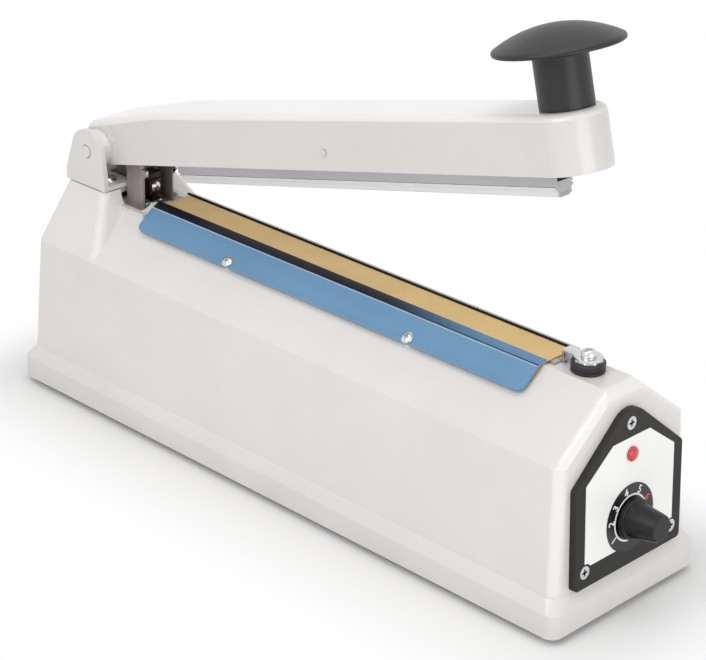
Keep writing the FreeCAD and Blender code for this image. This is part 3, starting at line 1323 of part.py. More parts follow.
def make_cover_plates():
    """Bent plates along both slopes that clamp the cloth's edges."""
    for label, frame, side in (("front_cover_plate", "near_slope", -1), ("rear_cover_plate", "far_slope", 1)):
        plate = new_body(label + "_form")
        section = new_sketch(plate, label + "_section", "YZ_Plane", "-cover_start")
        back, face = "cover_standoff", "cover_standoff + cover_sheet"
        bend = "cover_bend_drop"
        tip = ("cover_bend_drop - cover_lip_length * cos(cover_lip_angle)",
               face + " - cover_lip_length * sin(cover_lip_angle)")
        under = (tip[0] + " - cover_sheet * sin(cover_lip_angle)",
                 tip[1] + " - cover_sheet * cos(cover_lip_angle)")
        corners = [(bend, back), ("cover_drop", back), ("cover_drop", face), (bend, face), tip, under]
        corners = [("%d * (%s)" % (side, across), up) for across, up in corners]
        outline(section, corners if side > 0 else list(reversed(corners)))
        pad(plate, section, "cover_start + cover_end")
        holes = new_sketch(plate, label + "_holes", "XY_Plane", "0")
        for x in cover_screw_places():
            circle(holes, "small_screw + seat_gap", x, "%d * cover_screw_drop" % side)
        pocket(plate, holes, face + " + 1", outward=True)
        DOC.recompute()
        edge_at = side * number("cover_drop")
        fillet(plate, "cover_corner", lambda edge: is_plate_corner(edge, edge_at))
        keep(plate, label, frame)
    screws = []
    for frame, side in (("near_slope", -1), ("far_slope", 1)):
        pieces = [screw("cover_screw", "z", "cover_standoff + cover_sheet",
                        "cover_standoff + cover_sheet + small_head_height", "-casting_wall", "small_head",
                        "small_screw", x, "%d * cover_screw_drop" % side) for x in cover_screw_places()]
        screws.append(put_in(frame, group("cover_screw_side", *pieces)))
    keep(group("cover_screw_set", *screws), "cover_screws")


def is_plate_corner(edge, across):
    """Short edges through the sheet at the plate's lower corners."""
    span = edge.BoundBox
    return span.XLength < 0.01 and abs(span.YMin - across) < 0.01 and abs(span.YMax - across) < 0.01


def make_front_terminal():
    """Insulated post at the ridge's end with a clamp plate that grips the element."""
    stand_top = "ridge + terminal_height"
    collar = rod("terminal_collar", "z", "terminal_radius", "ridge", stand_top, "terminal_x")
    spigot = rod("terminal_spigot", "z", "terminal_spigot", "inner_ridge - 2", "ridge", "terminal_x")
    bore = rod("terminal_bore", "z", "terminal_bolt + running_gap", "inner_ridge - 3", stand_top + " + 1",
               "terminal_x")
    keep(cut("terminal_stand", fuse("terminal_form", collar, spigot), bore), "front_insulator")
    clamp_top = stand_top + " + clamp_thickness"
    plate = prism("clamp_disc", "z", "clamp_flat", stand_top, clamp_top, "terminal_x", sides=8)
    tab = box("clamp_tab", ("terminal_x - clamp_tab_reach", "terminal_x"),
              ("-clamp_tab_half", "clamp_tab_half"), (stand_top, clamp_top))
    fall = box("clamp_fall", ("terminal_x - clamp_tab_reach", "terminal_x - clamp_tab_reach + clamp_thickness"),
               ("-clamp_tab_half", "clamp_tab_half"), ("cloth_bottom", clamp_top))
    hole = rod("clamp_hole", "z", "terminal_bolt + seat_gap", stand_top + " - 1", clamp_top + " + 1",
               "terminal_x")
    keep(cut("clamp", fuse("clamp_form", plate, tab, fall), hole), "element_clamp")
    bolt = screw("terminal_bolt_form", "z", clamp_top, clamp_top + " + terminal_head_height",
                 "ridge - terminal_bolt_drop", "terminal_head", "terminal_bolt", "terminal_x")
    keep(bolt, "front_terminal_screw")
    nut_top = "inner_ridge - 2 - seat_gap"
    nut = prism("terminal_nut_form", "z", "nut_across", nut_top + " - nut_height", nut_top, "terminal_x")
    hole = rod("terminal_nut_hole", "z", "terminal_bolt + running_gap", nut_top + " - nut_height - 1",
               nut_top + " + 1", "terminal_x")
    keep(cut("terminal_nut", nut, hole), "front_terminal_nut")


# Timer panel on the end wall

def panel_screw_places():
    return [("-panel_screw_row", "panel_screw_low"), ("panel_screw_row", "panel_screw_low"),
            ("0", "panel_screw_high")]


def make_panel():
    """Gable-shaped panel with its printed label, dial ring and countersunk screws."""
    plate = new_body("panel_form")
    sketch = new_sketch(plate, "panel_outline", "YZ_Plane", "running_gap")
    outline(sketch, [("-panel_half", "panel_low", "panel_corner"), ("panel_half", "panel_low", "panel_corner"),
                     ("panel_half", "panel_side_top", "panel_corner"), ("0", "panel_apex", "panel_apex_round"),
                     ("-panel_half", "panel_side_top", "panel_corner")])
    pad(plate, sketch, "panel_thickness - running_gap")
    holes = new_sketch(plate, "panel_cuts", "YZ_Plane", "-1")
    circle(holes, "lamp_body_radius + seat_gap", "0", "lamp_height")
    circle(holes, "pot_bushing_radius + seat_gap", "0", "dial_height")
    for y, z in panel_screw_places():
        circle(holes, "small_screw + seat_gap", y, z)
    pocket(plate, holes, "panel_thickness + 2", outward=True)
    sinks = [cone("panel_sink", "x", "small_screw + seat_gap", "panel_screw_head + seat_gap",
                  "panel_face - panel_screw_head + small_screw", "panel_face", y, z)
             for y, z in panel_screw_places()]
    nut = rod("panel_nut_sink", "x", "pot_nut_across / cos(30deg) + seat_gap", "panel_face - pot_nut_height",
              "panel_face + 1", "0", "dial_height")
    keep(cut("panel_sunk", plate, nut, *sinks), "control_panel", "panel")
    screws = []
    for y, z in panel_screw_places():
        head = cone("panel_head", "x", "small_screw", "panel_screw_head",
                    "panel_face - panel_screw_head + small_screw", "panel_face", y, z)
        shank = rod("panel_shank", "x", "small_screw", "-2 * casting_wall",
                    "panel_face - panel_screw_head + small_screw", y, z)
        screws.append(fuse("panel_screw", head, shank))
    keep(group("panel_screw_set", *screws), "panel_screws", "panel")
    label = new_body("label_form")
    sketch = new_sketch(label, "label_outline", "YZ_Plane", "panel_face")
    outline(sketch, [("-label_half", "label_low"), ("label_half", "label_low"),
                     ("label_half", "label_side_top"), ("label_top_half", "label_top"),
                     ("-label_top_half", "label_top"), ("-label_half", "label_side_top")])
    pad(label, sketch, "label_thickness")
    holes = new_sketch(label, "label_cuts", "YZ_Plane", "panel_face - 1")
    circle(holes, "lamp_body_radius + side_gap", "0", "lamp_height")
    circle(holes, "pot_nut_across / cos(30deg) + side_gap", "0", "dial_height")
    pocket(label, holes, "label_thickness + 2", outward=True)
    notches = new_sketch(label, "label_notches", "YZ_Plane", "panel_face - 1")
    for side in SIGNS:
        circle(notches, "label_notch", "%d * panel_screw_row" % side, "panel_screw_low")
    pocket(label, notches, "label_thickness + 2", outward=True)
    keep(label, "panel_label", "panel")
    disc = rod("dial_disc", "x", "dial_radius", "label_face", "dial_face", "0", "dial_height")
    hole = rod("dial_hole", "x", "pot_nut_across / cos(30deg) + side_gap", "panel_face", "dial_face + 1", "0",
               "dial_height")
    keep(cut("dial", disc, hole), "dial_plate", "panel")


def make_lamp():
    lens = rod("lamp_lens", "x", "lamp_radius", "panel_face + lamp_flange_height",
               "panel_face + lamp_out", "0", "lamp_height")
    flange = rod("lamp_flange", "x", "lamp_flange + side_gap", "label_face", "label_face + lamp_flange_height",
                 "0", "lamp_height")
    keep(fuse("lamp_form", lens, flange), "indicator_lamp", "panel")
    body = rod("lamp_body", "x", "lamp_body_radius", "panel_face - lamp_body_length", "label_face", "0",
               "lamp_height")
    keep(group("lamp_holder_moved", body), "lamp_holder", "panel")


def make_knob():
    """Fluted knob on the timer's shaft, with the potentiometer and its nut behind the panel."""
    skirt_top = "knob_back + knob_skirt_height"
    front = "knob_back + knob_length"
    skirt = cone("knob_skirt", "x", "knob_skirt_radius", "knob_base_radius", "knob_back", skirt_top, "0",
                 "dial_height")
    body = cone("knob_body", "x", "knob_base_radius", "knob_face_radius", skirt_top, front, "0", "dial_height")
    flutes = []
    for step in range(int(number("knob_flutes"))):
        angle = "(%d * 360deg / knob_flutes)" % step
        reach = "(knob_base_radius + knob_flute_radius * 0.4)"
        flutes.append(rod("knob_flute", "x", "knob_flute_radius", skirt_top, front + " + 1",
                          "%s * cos%s" % (reach, angle), "dial_height + %s * sin%s" % (reach, angle)))
    bore = rod("knob_bore", "x", "shaft_radius + running_gap", "knob_back - 1",
               "knob_back + shaft_in_knob + seat_gap", "0", "dial_height")
    hollow_back = rod("knob_hollow", "x", "pot_nut_across / cos(30deg) + side_gap", "knob_back - 1",
                      "knob_back + knob_skirt_height", "0", "dial_height")
    solid = fuse("knob_form", skirt, body)
    keep(cut("knob", solid, fuse("knob_cuts", bore, hollow_back, *flutes)), "timer_knob", "panel")
    shaft = rod("shaft", "x", "shaft_radius", "pot_front - pot_shaft_deep", "knob_back + shaft_in_knob", "0",
                "dial_height")
    keep(group("shaft_moved", shaft), "pot_shaft", "panel")
    case = rod("pot_case", "x", "pot_body_radius", "pot_front - pot_body_length", "pot_front", "0",
               "dial_height")
    bushing = rod("pot_bushing", "x", "pot_bushing_radius", "pot_front", "panel_face + pot_nut_height / 2", "0",
                  "dial_height")
    well = rod("pot_well", "x", "shaft_radius + running_gap", "pot_front - pot_shaft_deep - seat_gap",
               "panel_face + pot_nut_height", "0", "dial_height")
    keep(cut("pot", fuse("pot_form", case, bushing), well), "potentiometer", "panel")
    nut = prism("pot_nut_form", "x", "pot_nut_across", "panel_face - pot_nut_height + seat_gap",
                "panel_face + seat_gap", "0", "dial_height")
    hole = rod("pot_nut_hole", "x", "pot_bushing_radius + running_gap", "panel_face - 2 * pot_nut_height",
               "panel_face + pot_nut_height", "0", "dial_height")
    keep(cut("pot_nut", nut, hole), "pot_nut", "panel")


def make_board():
    """Timer board on the back of the potentiometer, with its relay, capacitor and power device."""
    back = "board_face - board_thickness"
    y = ("-board_half", "board_half")
    keep(group("board_moved", box("board_form", (back, "board_face"), y, ("board_low", "board_high"))),
         "circuit_board", "panel")
    relay = box("relay", (back + " - relay_depth", back), ("-board_half + 2", "-board_half + 2 + relay_width"),
                ("board_low + 3", "board_low + 3 + relay_length"))
    capacitor = rod("capacitor", "x", "capacitor_radius", back + " - capacitor_length", back,
                    "board_half - capacitor_radius - 2", "board_low + capacitor_radius + 3")
    device = box("power_device", (back + " - device_depth", back), ("board_half - 14", "board_half - 4"),
                 ("board_high - 18", "board_high - 4"))
    keep(group("board_part_set", relay, capacitor, device), "board_components", "panel")


# Transformer on the bottom plate

def strap_screw_places():
    return [("core_x + %d * (core_length / 2 + strap_sheet + strap_foot / 2)" % side, "0") for side in SIGNS]


def make_transformer():
    """Laminated core with two windows, a coil on its middle limb and a strap that holds it down."""
    bottom = "plate_top + seat_gap"
    top = bottom + " + core_height"
    x = ("core_x - core_length / 2", "core_x + core_length / 2")
    y = ("-core_depth / 2", "core_depth / 2")
    block = box("core_block", x, y, (bottom, top))
    window_low = bottom + " + (core_height - window_height) / 2"
    windows = []
    for side in SIGNS:
        ends = sorted(("core_x + %d * core_limb" % side, "core_x + %d * (core_length / 2 - core_limb)" % side),
                      key=number)
        windows.append(box("core_window", ends, ("-core_depth", "core_depth"),
                           (window_low, window_low + " + window_height")))
    keep(cut("core", block, *windows), "transformer_core")
    gap = "2 * seat_gap"
    coil = box("coil_block", ("core_x - core_length / 2 + core_limb + " + gap,
                              "core_x + core_length / 2 - core_limb - " + gap),
               ("-core_depth / 2 - coil_wall", "core_depth / 2 + coil_wall"),
               (window_low + " + " + gap, window_low + " + window_height - " + gap))
    tunnel = box("coil_tunnel", ("core_x - core_limb - seat_gap", "core_x + core_limb + seat_gap"),
                 ("-core_depth / 2 - seat_gap", "core_depth / 2 + seat_gap"),
                 (window_low + " - 1", window_low + " + window_height + 1"))
    keep(cut("coil", coil, tunnel), "transformer_coil")
    strap = new_body("strap_form")
    side = new_sketch(strap, "strap_side", "XZ_Plane")
    left, right = "core_x - core_length / 2 - seat_gap", "core_x + core_length / 2 + seat_gap"
    roof = top + " + seat_gap"
    floor = "plate_top"
    outline(side, [(left + " - strap_sheet - strap_foot", floor), (left, floor), (left, roof), (right, roof),
                   (right, floor), (right + " + strap_sheet + strap_foot", floor),
                   (right + " + strap_sheet + strap_foot", floor + " + strap_sheet"),
                   (right + " + strap_sheet", floor + " + strap_sheet"),
                   (right + " + strap_sheet", roof + " + strap_sheet"),
                   (left + " - strap_sheet", roof + " + strap_sheet"),
                   (left + " - strap_sheet", floor + " + strap_sheet"),
                   (left + " - strap_sheet - strap_foot", floor + " + strap_sheet")])
    pad(strap, side, "core_depth", symmetric=True)
    holes = new_sketch(strap, "strap_holes", "XY_Plane", "0")
    for place in strap_screw_places():
        circle(holes, "small_screw + seat_gap", *place)
    pocket(strap, holes, floor + " + 2 * strap_sheet", outward=True)
    keep(strap, "transformer_strap")
    seat = "plate_top + strap_sheet"
    screws = [screw("strap_screw", "z", seat, seat + " + small_head_height", "plate_bottom - 0.5",
                    "small_head", "small_screw", *place) for place in strap_screw_places()]
    keep(group("strap_screw_set", *screws), "strap_screws")


# Inlet for the mains lead, at the foot of the rear wall

def make_gland():
    """Threaded gland through the wall with a clamping cap outside and a nut inside."""
    barrel = rod("gland_barrel", "x", "gland_barrel", "-gland_hex_height",
                 "casting_wall + gland_nut_height + 2", "0", "gland_height")
    collar = prism("gland_hex", "x", "gland_hex", "-seat_gap - gland_hex_height", "-seat_gap", "0",
                   "gland_height")
    cap = cone("gland_cap", "x", "gland_cap - 1.5", "gland_cap", "-gland_hex_height - gland_cap_height",
               "-gland_hex_height", "0", "gland_height")
    bore = rod("gland_bore", "x", "gland_bore", "-gland_hex_height - gland_cap_height - 1",
               "casting_wall + gland_nut_height + 3", "0", "gland_height")
    keep(cut("gland", fuse("gland_form", barrel, collar, cap), bore), "mains_gland", "rear")
    inside = "casting_wall + seat_gap"
    nut = prism("gland_nut_form", "x", "gland_hex", inside, inside + " + gland_nut_height", "0", "gland_height")
    hole = rod("gland_nut_hole", "x", "gland_barrel + running_gap", inside + " - 1",
               inside + " + gland_nut_height + 1", "0", "gland_height")
    keep(cut("gland_nut", nut, hole), "gland_nut", "rear")


def check_and_write():
    """Stops on any failed object or shape, centres the model on its base and writes each sub-part."""
    DOC.recompute()
    for thing in DOC.Objects:
        if "Invalid" in thing.State or "Error" in thing.State:
            raise RuntimeError("%s: %s" % (thing.Label, thing.State))
    for part in PARTS:
        if part.Shape.isNull() or not part.Shape.isValid() or not part.Shape.Solids:
            raise RuntimeError(part.Label + " has no valid shape")
    span = FreeCAD.BoundBox()
    for part in PARTS:
        span.add(part.Shape.BoundBox)
    centre = FreeCAD.Vector(-span.Center.x, -span.Center.y, -span.ZMin)
    os.makedirs("parts", exist_ok=True)
    for part in PARTS:
        shape = part.Shape.copy()
        shape.translate(centre)
        shape.exportStep("parts/%s.step" % part.Label)
    print("moved by", centre, "size", span.XLength, span.YLength, span.ZLength)


def main():
    fill_sheet()
    make_housing()
    make_base()
    make_yoke()
    make_pin()
    make_guard()
    make_rear_terminal()
    make_arm()
    make_hinge_bushes()
    make_tail()
    make_handle()
    make_pressure_bar()
    make_saddle()
    make_spring()
    make_switch()
    make_seal_stack()
    make_cover_plates()
    make_front_terminal()
    make_panel()
    make_lamp()
    make_knob()
    make_board()
    make_transformer()
    make_gland()
    check_and_write()


main()
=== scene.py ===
"""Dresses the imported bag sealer: finishes, small hardware, dial, cloth, grip, studio and camera."""

import json
import logging
import math
from collections.abc import Callable, Iterator
from contextlib import contextmanager
from dataclasses import dataclass
from enum import Enum

import bpy
from mathutils import Matrix, Vector

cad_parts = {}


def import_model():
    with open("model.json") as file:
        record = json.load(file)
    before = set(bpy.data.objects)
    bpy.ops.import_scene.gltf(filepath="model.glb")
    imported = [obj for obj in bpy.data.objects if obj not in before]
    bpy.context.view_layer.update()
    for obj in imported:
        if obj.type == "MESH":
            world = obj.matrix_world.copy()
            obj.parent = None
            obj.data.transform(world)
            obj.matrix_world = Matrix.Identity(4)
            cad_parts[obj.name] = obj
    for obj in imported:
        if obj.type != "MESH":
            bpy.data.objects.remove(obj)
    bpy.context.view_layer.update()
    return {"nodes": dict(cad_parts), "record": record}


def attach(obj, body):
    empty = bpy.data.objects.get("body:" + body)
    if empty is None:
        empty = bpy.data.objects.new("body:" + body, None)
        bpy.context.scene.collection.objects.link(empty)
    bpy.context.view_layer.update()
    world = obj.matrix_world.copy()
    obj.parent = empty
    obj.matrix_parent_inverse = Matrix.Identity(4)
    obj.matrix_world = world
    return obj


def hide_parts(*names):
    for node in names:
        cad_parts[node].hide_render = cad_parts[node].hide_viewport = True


LOG = logging.getLogger("bag_sealer")
X_AXIS, Y_AXIS, Z_AXIS = Vector((1, 0, 0)), Vector((0, 1, 0)), Vector((0, 0, 1))

# Measures of the solids in millimetres; SHIFT leads from the housing's middle to the row's origin
MM = 0.001
SHIFT = -3.02115
RIDGE_HALF = 8.5
RIDGE_LEVEL = 93.0
WALL_FOOT = (156.5, 18.0)
ROOF_ANGLE = math.radians(37.52)
WALL_TILT = math.radians(2.944)
ARM_OPEN = math.radians(14.33)
PIN = Vector((-136.3 + SHIFT, 0, 112.8))

# How edges are found and rounded
WELD = 1e-6
FLAT_ANGLE = 0.5
ROUND_ANGLE = 28
SHARP_ANGLE = 35
FLAT_WEIGHT = 60

# Shares of a finish's colour between threads and where it darkens low down, and what all finishes have in common
GAP_SHADE = 0.78
LOW_DARK_SHARE = 0.86
COAT_ROUGHNESS = 0.12
SHINE_SPREAD = 0.08
THREADS_PER_METRE = 800.0

Colour = tuple[float, float, float]
Value = bpy.types.NodeSocket | float | tuple
Profile = list[tuple[float, float]]
FaceTest = Callable[[bpy.types.MeshPolygon], bool]


# Frames that pieces are built in, each with its own Z pointing out of the surface

def frame_at(origin: Vector, right: Vector, up: Vector) -> Matrix:
    """Gives the matrix of a frame in millimetres.

    Args:
        origin: where the frame lies, in millimetres.
        right: its X axis.
        up: its Y axis.

    Returns:
        The matrix that takes points of the frame, in millimetres, to metres in the row frame.
    """
    turn = Matrix((right, up, right.cross(up))).transposed().to_4x4()
    return Matrix.Scale(MM, 4) @ Matrix.Translation(origin) @ turn


def upright(x: float, y: float, z: float) -> Matrix:
    """Frame at a point with Z up."""
    return frame_at(Vector((x + SHIFT, y, z)), X_AXIS, Y_AXIS)


def panel_frame() -> Matrix:
    """Frame at the foot of the end wall, X across it and Y up it."""
    up = Vector((-math.sin(WALL_TILT), 0, math.cos(WALL_TILT)))
    return frame_at(Vector((WALL_FOOT[0] + SHIFT, 0, WALL_FOOT[1])), Y_AXIS, up)


def slope_frame(side: int) -> Matrix:
    """Frame at the ridge's edge on one slope, with Y pointing up the near slope and down the far one."""
    up = Vector((0, math.cos(ROOF_ANGLE), -side * math.sin(ROOF_ANGLE)))
    return frame_at(Vector((SHIFT, side * RIDGE_HALF, RIDGE_LEVEL)), X_AXIS, up)


def arm_frame() -> Matrix:
    """Frame at the hinge pin, X along the open arm, Y across and Z above it."""
    return frame_at(PIN, Vector((math.cos(ARM_OPEN), 0, math.sin(ARM_OPEN))), Y_AXIS)


# Modelling moves

def deselect() -> None:
    """Leaves nothing selected."""
    if bpy.context.mode != "OBJECT":
        bpy.ops.object.mode_set(mode="OBJECT")
    bpy.ops.object.select_all(action="DESELECT")


def activate(piece: bpy.types.Object) -> None:
    """Selects one piece alone and makes it active."""
    deselect()
    piece.select_set(True)
    bpy.context.view_layer.objects.active = piece


@contextmanager
def editing(piece: bpy.types.Object, kind: str = "FACE") -> Iterator[None]:
    """Opens a piece in edit mode with whatever its mesh has selected.

    Args:
        piece: the mesh object.
        kind: the selection mode, VERT, EDGE or FACE.

    Yields:
        Nothing.
    """
    activate(piece)
    bpy.ops.object.mode_set(mode="EDIT")
    bpy.ops.mesh.select_mode(type=kind)
    yield
    bpy.ops.object.mode_set(mode="OBJECT")


def pick(piece: bpy.types.Object, kind: str, test: Callable[[bpy.types.bpy_struct], bool]) -> None:
    """Selects the parts of a mesh that pass a test, and nothing else.

    Args:
        piece: the mesh object.
        kind: vertices, edges or polygons.
        test: called with each of them.
    """
    mesh = piece.data
    for item in [*mesh.vertices, *mesh.edges, *mesh.polygons]:
        item.select = False
    for item in getattr(mesh, kind):
        item.select = test(item)


def ends(piece: bpy.types.Object, edge: bpy.types.MeshEdge) -> list[Vector]:
    """Gives the places of an edge's two ends."""
    return [piece.data.vertices[index].co for index in edge.vertices]


def apply_modifiers(piece: bpy.types.Object) -> None:
    """Applies every modifier of a piece."""
    activate(piece)
    for modifier in list(piece.modifiers):
        bpy.ops.object.modifier_apply(modifier=modifier.name)


def cut_away(piece: bpy.types.Object, cutter: bpy.types.Object) -> None:
    """Takes one piece out of another and deletes it.

    Args:
        piece: the mesh object that stays.
        cutter: the mesh object that is taken away.
    """
    modifier = piece.modifiers.new("cut", "BOOLEAN")
    modifier.operation = "DIFFERENCE"
    modifier.object = cutter
    modifier.solver = "EXACT"
    apply_modifiers(piece)
    bpy.data.objects.remove(cutter, do_unlink=True)


def smooth(piece: bpy.types.Object, angle: float = SHARP_ANGLE) -> None:
    """Shades a piece smooth except over sharper edges, with its flat faces kept flat.

    Args:
        piece: the mesh object.
        angle: edges sharper than this many degrees stay sharp.
    """
    activate(piece)
    if piece.data.has_custom_normals:
        bpy.ops.mesh.customdata_custom_splitnormals_clear()
    bpy.ops.object.shade_smooth_by_angle(angle=math.radians(angle))
    even = piece.modifiers.new("even", "WEIGHTED_NORMAL")
    even.keep_sharp = True
    even.weight = FLAT_WEIGHT
    apply_modifiers(piece)


def place(piece: bpy.types.Object, matrix: Matrix) -> None:
    """Moves a piece's mesh by a matrix and leaves its object at the origin."""
    activate(piece)
    piece.matrix_world = matrix @ piece.matrix_world
    bpy.context.view_layer.update()
    bpy.ops.object.transform_apply(location=True, rotation=True, scale=True)


def joined(made: list[bpy.types.Object], name: str) -> bpy.types.Object:
    """Joins pieces into one object.

    Args:
        made: the pieces, two or more.
        name: the joined piece's name.

    Returns:
        The joined piece.
    """
    activate(made[0])
    for piece in made:
        piece.select_set(True)
    bpy.ops.object.join()
    return named(made[0], name)


def named(piece: bpy.types.Object, name: str) -> bpy.types.Object:
    """Names a piece and its mesh and gives the piece."""
    piece.name = piece.data.name = name
    return piece


def copies(piece: bpy.types.Object, places: list[Matrix], name: str) -> bpy.types.Object:
    """Sets a copy of a piece, with its own mesh, at each place and joins them.

    Args:
        piece: the piece that repeats, built at the origin. It is deleted.
        places: a matrix for each copy.
        name: the joined piece's name.

    Returns:
        The joined piece.
    """
    made = []
    for matrix in places:
        twin = piece.copy()
        twin.data = piece.data.copy()
        bpy.context.scene.collection.objects.link(twin)
        place(twin, matrix)
        made.append(twin)
    bpy.data.objects.remove(piece, do_unlink=True)
    return joined(made, name)


def turned(name: str, profile: Profile, segments: int = 48) -> bpy.types.Object:
    """Turns a closed round piece about Z: a disc, extruded and scaled along a profile.

    Args:
        name: the piece's name.
        profile: radius and height of each step in millimetres, from the first end to the last.
        segments: how many sides the round has.

    Returns:
        The piece, at the origin and in millimetres.
    """
    deselect()
    radius, height = profile[0]
    bpy.ops.mesh.primitive_circle_add(vertices=segments, radius=radius, fill_type="NGON", location=(0, 0, height))
    piece = named(bpy.context.object, name)
    bpy.ops.object.transform_apply(location=True)
    pick(piece, "polygons", lambda face: True)
    with editing(piece):
        for (last, low), (wide, high) in zip(profile, profile[1:]):
            bpy.ops.mesh.extrude_region_move(TRANSFORM_OT_translate={"value": (0, 0, high - low)})
            bpy.ops.transform.resize(value=(wide / last, wide / last, 1), center_override=(0, 0, high))
        bpy.ops.mesh.select_all(action="SELECT")
        bpy.ops.mesh.normals_make_consistent(inside=False)
    return piece


def block(name: str, low: tuple[float, float, float], high: tuple[float, float, float]) -> bpy.types.Object:
    """Adds a block between two corners, as the start of a piece.

    Args:
        name: the piece's name.
        low: its lowest corner in millimetres.
        high: its highest corner in millimetres.

    Returns:
        The piece, in millimetres.
    """
    deselect()
    middle = [(first + last) / 2 for first, last in zip(low, high)]
    bpy.ops.mesh.primitive_cube_add(size=1, location=middle, scale=[last - first for first, last in zip(low, high)])
    bpy.ops.object.transform_apply(location=True, scale=True)
    return named(bpy.context.object, name)


def cut_cross(piece: bpy.types.Object, arm: float, half: float, floor: float, top: float, taper: float) -> None:
    """Cuts a screw's cross recess, which narrows towards its floor.

    Args:
        piece: the screw, at the origin and in millimetres.
        arm: how far each arm of the cross reaches.
        half: half an arm's width.
        floor: the level of the recess's floor.
        top: a level above the screw.
        taper: the floor's size as a share of the mouth's.
    """
    for across, along in ((arm, half), (half, arm)):
        slot = block("recess", (-across, -along, floor), (across, along, top))
        pick(slot, "polygons", lambda face: face.normal.z < -0.5)
        with editing(slot):
            bpy.ops.transform.resize(value=(taper, taper, 1), center_override=(0, 0, floor))
        cut_away(piece, slot)


def softened(node: str, width: float, segments: int = 3) -> bpy.types.Object:
    """Copies a node's solid with its sharp edges rounded as casting, folding or moulding leaves them.

    Args:
        node: the node's name.
        width: how wide the rounds are in millimetres.
        segments: how many strips each has.

    Returns:
        The new piece, in metres and in place.
    """
    source = bpy.data.objects[node]
    deselect()
    piece = bpy.data.objects.new(node + "_form", source.data.copy())
    piece.data.materials.clear()
    bpy.context.scene.collection.objects.link(piece)
    with editing(piece, "VERT"):
        bpy.ops.mesh.select_all(action="SELECT")
        bpy.ops.mesh.remove_doubles(threshold=WELD)
        bpy.ops.mesh.dissolve_limited(angle_limit=math.radians(FLAT_ANGLE))
    rounding = piece.modifiers.new("round", "BEVEL")
    rounding.width = width * MM
    rounding.segments = segments
    rounding.limit_method = "ANGLE"
    rounding.angle_limit = math.radians(ROUND_ANGLE)
    apply_modifiers(piece)
    smooth(piece)
    return piece


# Finishes

class Pattern(Enum):
    """What a finish's pattern is, with the coordinates that it follows."""

    PLAIN = "Object"
    WOVEN = "UV"


def linear(value: float) -> float:
    """Converts a display value from 0 to 1 to a linear one."""
    return value / 12.92 if value <= 0.04045 else ((value + 0.055) / 1.055) ** 2.4


def display(colour: Colour, share: float = 1.0) -> tuple[float, float, float, float]:
    """Converts a share of a display colour to a linear one with full alpha."""
    return (*(linear(value * share) for value in colour), 1.0)


class Wiring:
    """Adds shader nodes to one tree and fills their inputs."""

    def __init__(self, tree: bpy.types.NodeTree) -> None:
        """Keeps the tree."""
        self.tree = tree

    def add(self, kind: str, inputs: dict[str | int, Value], **settings: object) -> bpy.types.Node:
        """Adds a node.

        Args:
            kind: its type, without the word ShaderNode.
            inputs: a socket to link or a value to set, for each input by its name or number.
            settings: properties of the node, set before its inputs.

        Returns:
            The node.
        """
        node = self.tree.nodes.new("ShaderNode" + kind)
        for name, value in settings.items():
            setattr(node, name, value)
        self.fill(node, inputs)
        return node

    def fill(self, node: bpy.types.Node, inputs: dict[str | int, Value]) -> None:
        """Links or sets inputs of a node.

        Args:
            node: the node.
            inputs: a socket to link or a value to set, for each input by its name or number.
        """
        for name, value in inputs.items():
            if isinstance(value, bpy.types.NodeSocket):
                self.tree.links.new(value, node.inputs[name])
            else:
                node.inputs[name].default_value = value

    def math(self, operation: str, *values: Value) -> bpy.types.NodeSocket:
        """Adds a math node and gives its output."""
        return self.add("Math", dict(enumerate(values)), operation=operation).outputs[0]

    def mix(self, factor: Value, first: Value, second: Value) -> bpy.types.NodeSocket:
        """Mixes two colours and gives the mix."""
        return self.add("Mix", {"Factor": factor, "A": first, "B": second}, data_type="RGBA").outputs["Result"]

    def shared(self, group: bpy.types.NodeTree, inputs: dict[str | int, Value]) -> bpy.types.Node:
        """Adds a shared node group."""
        return self.add("Group", inputs, node_tree=group)

    def seen(self) -> bpy.types.NodeSocket:
        """Tells light that is seen from light that only falls on things.

        Returns:
            A socket with 1 for what is seen straight, mirrored or through the lens, and 0 for other light.
        """
        path = self.add("LightPath", {}).outputs
        around = self.math("MAXIMUM", path["Is Glossy Ray"], path["Is Transmission Ray"])
        return self.math("MAXIMUM", path["Is Camera Ray"], around)


def new_group(name: str, inputs: tuple[str, ...], outputs: tuple[str, ...]) -> bpy.types.NodeTree:
    """Starts a shader node group with a Vector input.

    Args:
        name: the group's name.
        inputs: the names of its further inputs, all numbers.
        outputs: the names of its outputs, all numbers.

    Returns:
        The group, with its input and output nodes.
    """
    group = bpy.data.node_groups.new(name, "ShaderNodeTree")
    group.interface.new_socket(name="Vector", in_out="INPUT", socket_type="NodeSocketVector")
    for way, labels in (("INPUT", inputs), ("OUTPUT", outputs)):
        for label in labels:
            group.interface.new_socket(name=label, in_out=way, socket_type="NodeSocketFloat")
    group.nodes.new("NodeGroupInput")
    group.nodes.new("NodeGroupOutput")
    return group


